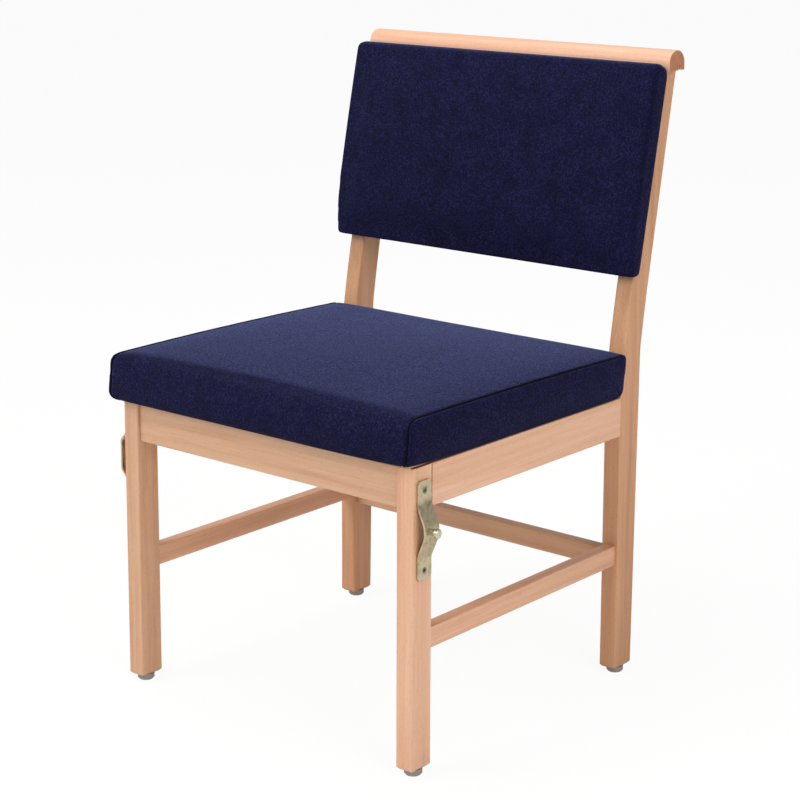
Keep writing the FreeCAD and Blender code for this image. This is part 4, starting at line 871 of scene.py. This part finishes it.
seam_pieces = []
for word, path in (("left", seat_seams[0]), ("right", seat_seams[1])):
    laid = on_skin(seat, path, 0.55)
    seam_pieces.append(grow("seat_seam_" + word, laid, seam_tree, {"Radius": 0.0014, "Cloth": seam_roll_painted_shade}))
laid = on_skin(pad, pad_seam, 0.1)
seam_pieces.append(grow("back_closing_seam", laid, seam_tree, {"Radius": 0.0006, "Cloth": seam_roll_painted_shade}))
for piece in seam_pieces:
    piece.data.shade_smooth()
print("seams:", [len(piece.data.polygons) for piece in seam_pieces])

# %% The staple tree
staple_tree, given, result = new_tree("staples", [
    ("Spacing", "NodeSocketFloat", 0.032), ("Width", "NodeSocketFloat", 0.0105),
    ("Wire", "NodeSocketFloat", 0.0011), ("Steel", "NodeSocketMaterial", None),
])
line = add(staple_tree, "GeometryNodeMeshToCurve", Mesh=given.outputs["Geometry"])
spots = add(staple_tree, "GeometryNodeCurveToPoints", {"mode": "LENGTH"}, Curve=line.outputs["Curve"])
staple_tree.links.new(given.outputs["Spacing"], spots.inputs["Length"])
size = add(
    staple_tree, "ShaderNodeCombineXYZ", X=given.outputs["Wire"], Y=given.outputs["Wire"],
    Z=given.outputs["Width"],
)
crown = add(staple_tree, "GeometryNodeMeshCube", Size=size.outputs["Vector"])
placed = add(
    staple_tree, "GeometryNodeInstanceOnPoints", Points=spots.outputs["Points"], Instance=crown.outputs["Mesh"],
    Rotation=spots.outputs["Rotation"],
)
single = add(staple_tree, "GeometryNodeRealizeInstances", Geometry=placed.outputs["Instances"])
dressed = add(
    staple_tree, "GeometryNodeSetMaterial", Geometry=single.outputs["Geometry"],
    Material=given.outputs["Steel"],
)
staple_tree.links.new(dressed.outputs["Geometry"], result.inputs["Geometry"])
STAPLE_INSET, STAPLE_HEIGHT = 7.0, 378.2
edge_x, near_y, far_y = high_x + STAPLE_INSET, low_y - STAPLE_INSET, high_y + STAPLE_INSET
turn_under = [(-edge_x, near_y), (edge_x, near_y), (edge_x, far_y), (-edge_x, far_y), (-edge_x, near_y)]
staples = grow(
    "seat_staples", [Vector((x * MM, y * MM, STAPLE_HEIGHT * MM)) for x, y in turn_under], staple_tree,
    {"Spacing": 0.032, "Width": 0.0105, "Wire": 0.0011, "Steel": screw_steel},
)
print("staples:", len(staples.data.polygons) // 6)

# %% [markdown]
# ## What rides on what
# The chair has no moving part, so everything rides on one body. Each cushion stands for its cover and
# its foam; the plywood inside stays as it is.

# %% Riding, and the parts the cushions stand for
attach(seat, "root")
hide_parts("seat_cover", "seat_foam")
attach(pad, "root")
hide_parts("back_cover", "back_foam")
for piece in seam_pieces:
    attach(piece, "root")
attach(staples, "root")

# %% [markdown]
# ## Floor, light and camera
# The chair stands in a white studio. The floor and the world are white to the camera alone, and
# reflections see them at the plain level that lights the chair. The floor keeps a faint shadow. The
# light is a big soft lamp from the front left and above, a weaker one from the right, and one overhead,
# as in a light tent. The camera stands where the photograph was taken from: 40 degrees round to the
# sitter's left and 11 degrees up, with a long lens and a shifted picture.

# %% Floor and world
def white_where_seen(tree, shade, output, share):
    """Mixes white light in where the camera looks."""
    seen = add(tree, "ShaderNodeLightPath").outputs["Is Camera Ray"]
    part = add(tree, "ShaderNodeMath", {"operation": "MULTIPLY"}, i0=seen, i1=share)
    kind = "ShaderNodeBackground" if output.bl_idname == "ShaderNodeOutputWorld" else "ShaderNodeEmission"
    white = add(tree, kind, Color=(1, 1, 1, 1), Strength=1.0)
    mixed = add(tree, "ShaderNodeMixShader", Fac=part.outputs["Value"], i1=shade, i2=white.outputs[0])
    tree.links.new(mixed.outputs["Shader"], output.inputs["Surface"])


floor_mesh = bpy.data.meshes.new("studio_floor")
floor_mesh.from_pydata([(-12, -12, 0), (12, -12, 0), (12, 12, 0), (-12, 12, 0)], [], [(0, 1, 2, 3)])
floor = bpy.data.objects.new("studio_floor", floor_mesh)
bpy.context.scene.collection.objects.link(floor)
floor_paint = bpy.data.materials.new("white_studio_paint")
floor_paint.use_nodes = True
tree = floor_paint.node_tree
tree.nodes.clear()
matt = add(tree, "ShaderNodeBsdfDiffuse", Color=linear("#F4F4F2"), Roughness=0.6)
white_where_seen(tree, matt.outputs["BSDF"], add(tree, "ShaderNodeOutputMaterial"), 0.93)
floor_mesh.materials.append(floor_paint)

world = bpy.data.worlds.new("light_tent")
bpy.context.scene.world = world
world.use_nodes = True
tree = world.node_tree
tree.nodes.clear()
tent = add(tree, "ShaderNodeBackground", Color=(1, 1, 1, 1), Strength=0.42)
white_where_seen(tree, tent.outputs["Background"], add(tree, "ShaderNodeOutputWorld"), 1.0)
print("floor and world are white to the camera")

# %% Lamps
def soft_lamp(name, place, target, width, watts):
    """A square area lamp that points at a target."""
    data = bpy.data.lights.new(name, "AREA")
    data.shape = "SQUARE"
    data.size = width
    data.energy = watts
    lamp = bpy.data.objects.new(name, data)
    lamp.location = place
    lamp.rotation_euler = (Vector(target) - Vector(place)).to_track_quat("-Z", "Y").to_euler()
    bpy.context.scene.collection.objects.link(lamp)
    return lamp


soft_lamp("front_left_lamp", (-1.4, -2.6, 2.3), (0, 0, 0.45), 1.8, 54)
soft_lamp("right_lamp", (2.8, -0.9, 1.7), (0, 0, 0.45), 1.8, 36)
soft_lamp("overhead_lamp", (-0.5, -0.3, 2.9), (0, 0, 0.4), 1.6, 38)
print("three soft lamps")

# %% Camera
AZIMUTH, ELEVATION, ROLL = math.radians(39.9836), math.radians(10.9166), math.radians(0.134)
FOCAL_PX, CENTRE_X, CENTRE_Y, PICTURE = 2116.5, 396.5, 257.1, 800.0
CAMERA_PLACE = Vector((1.71166, -1.78504 - 0.256, 1.07009))
back = Vector((
    math.sin(AZIMUTH) * math.cos(ELEVATION), -math.cos(AZIMUTH) * math.cos(ELEVATION), math.sin(ELEVATION)
))
right = (-back).cross(Vector((0, 0, 1))).normalized()
up = right.cross(-back).normalized()
right, up = (
    right * math.cos(ROLL) + up * math.sin(ROLL),
    up * math.cos(ROLL) - right * math.sin(ROLL),
)
lens = bpy.data.cameras.new("photo_camera")
lens.sensor_width = 36.0
lens.lens = FOCAL_PX / PICTURE * 36.0
lens.shift_x = (PICTURE / 2 - CENTRE_X) / PICTURE
lens.shift_y = -(PICTURE / 2 - CENTRE_Y) / PICTURE
lens.clip_end = 60.0
camera = bpy.data.objects.new("photo_camera", lens)
bpy.context.scene.collection.objects.link(camera)
camera.location = CAMERA_PLACE
camera.rotation_mode = "QUATERNION"
from mathutils import Matrix

camera.rotation_quaternion = Matrix((right, up, back)).transposed().to_quaternion()
bpy.context.scene.camera = camera
bpy.context.scene.view_settings.view_transform = "Standard"
print("camera at", [round(c, 3) for c in camera.location], "lens", round(lens.lens, 1), "mm")
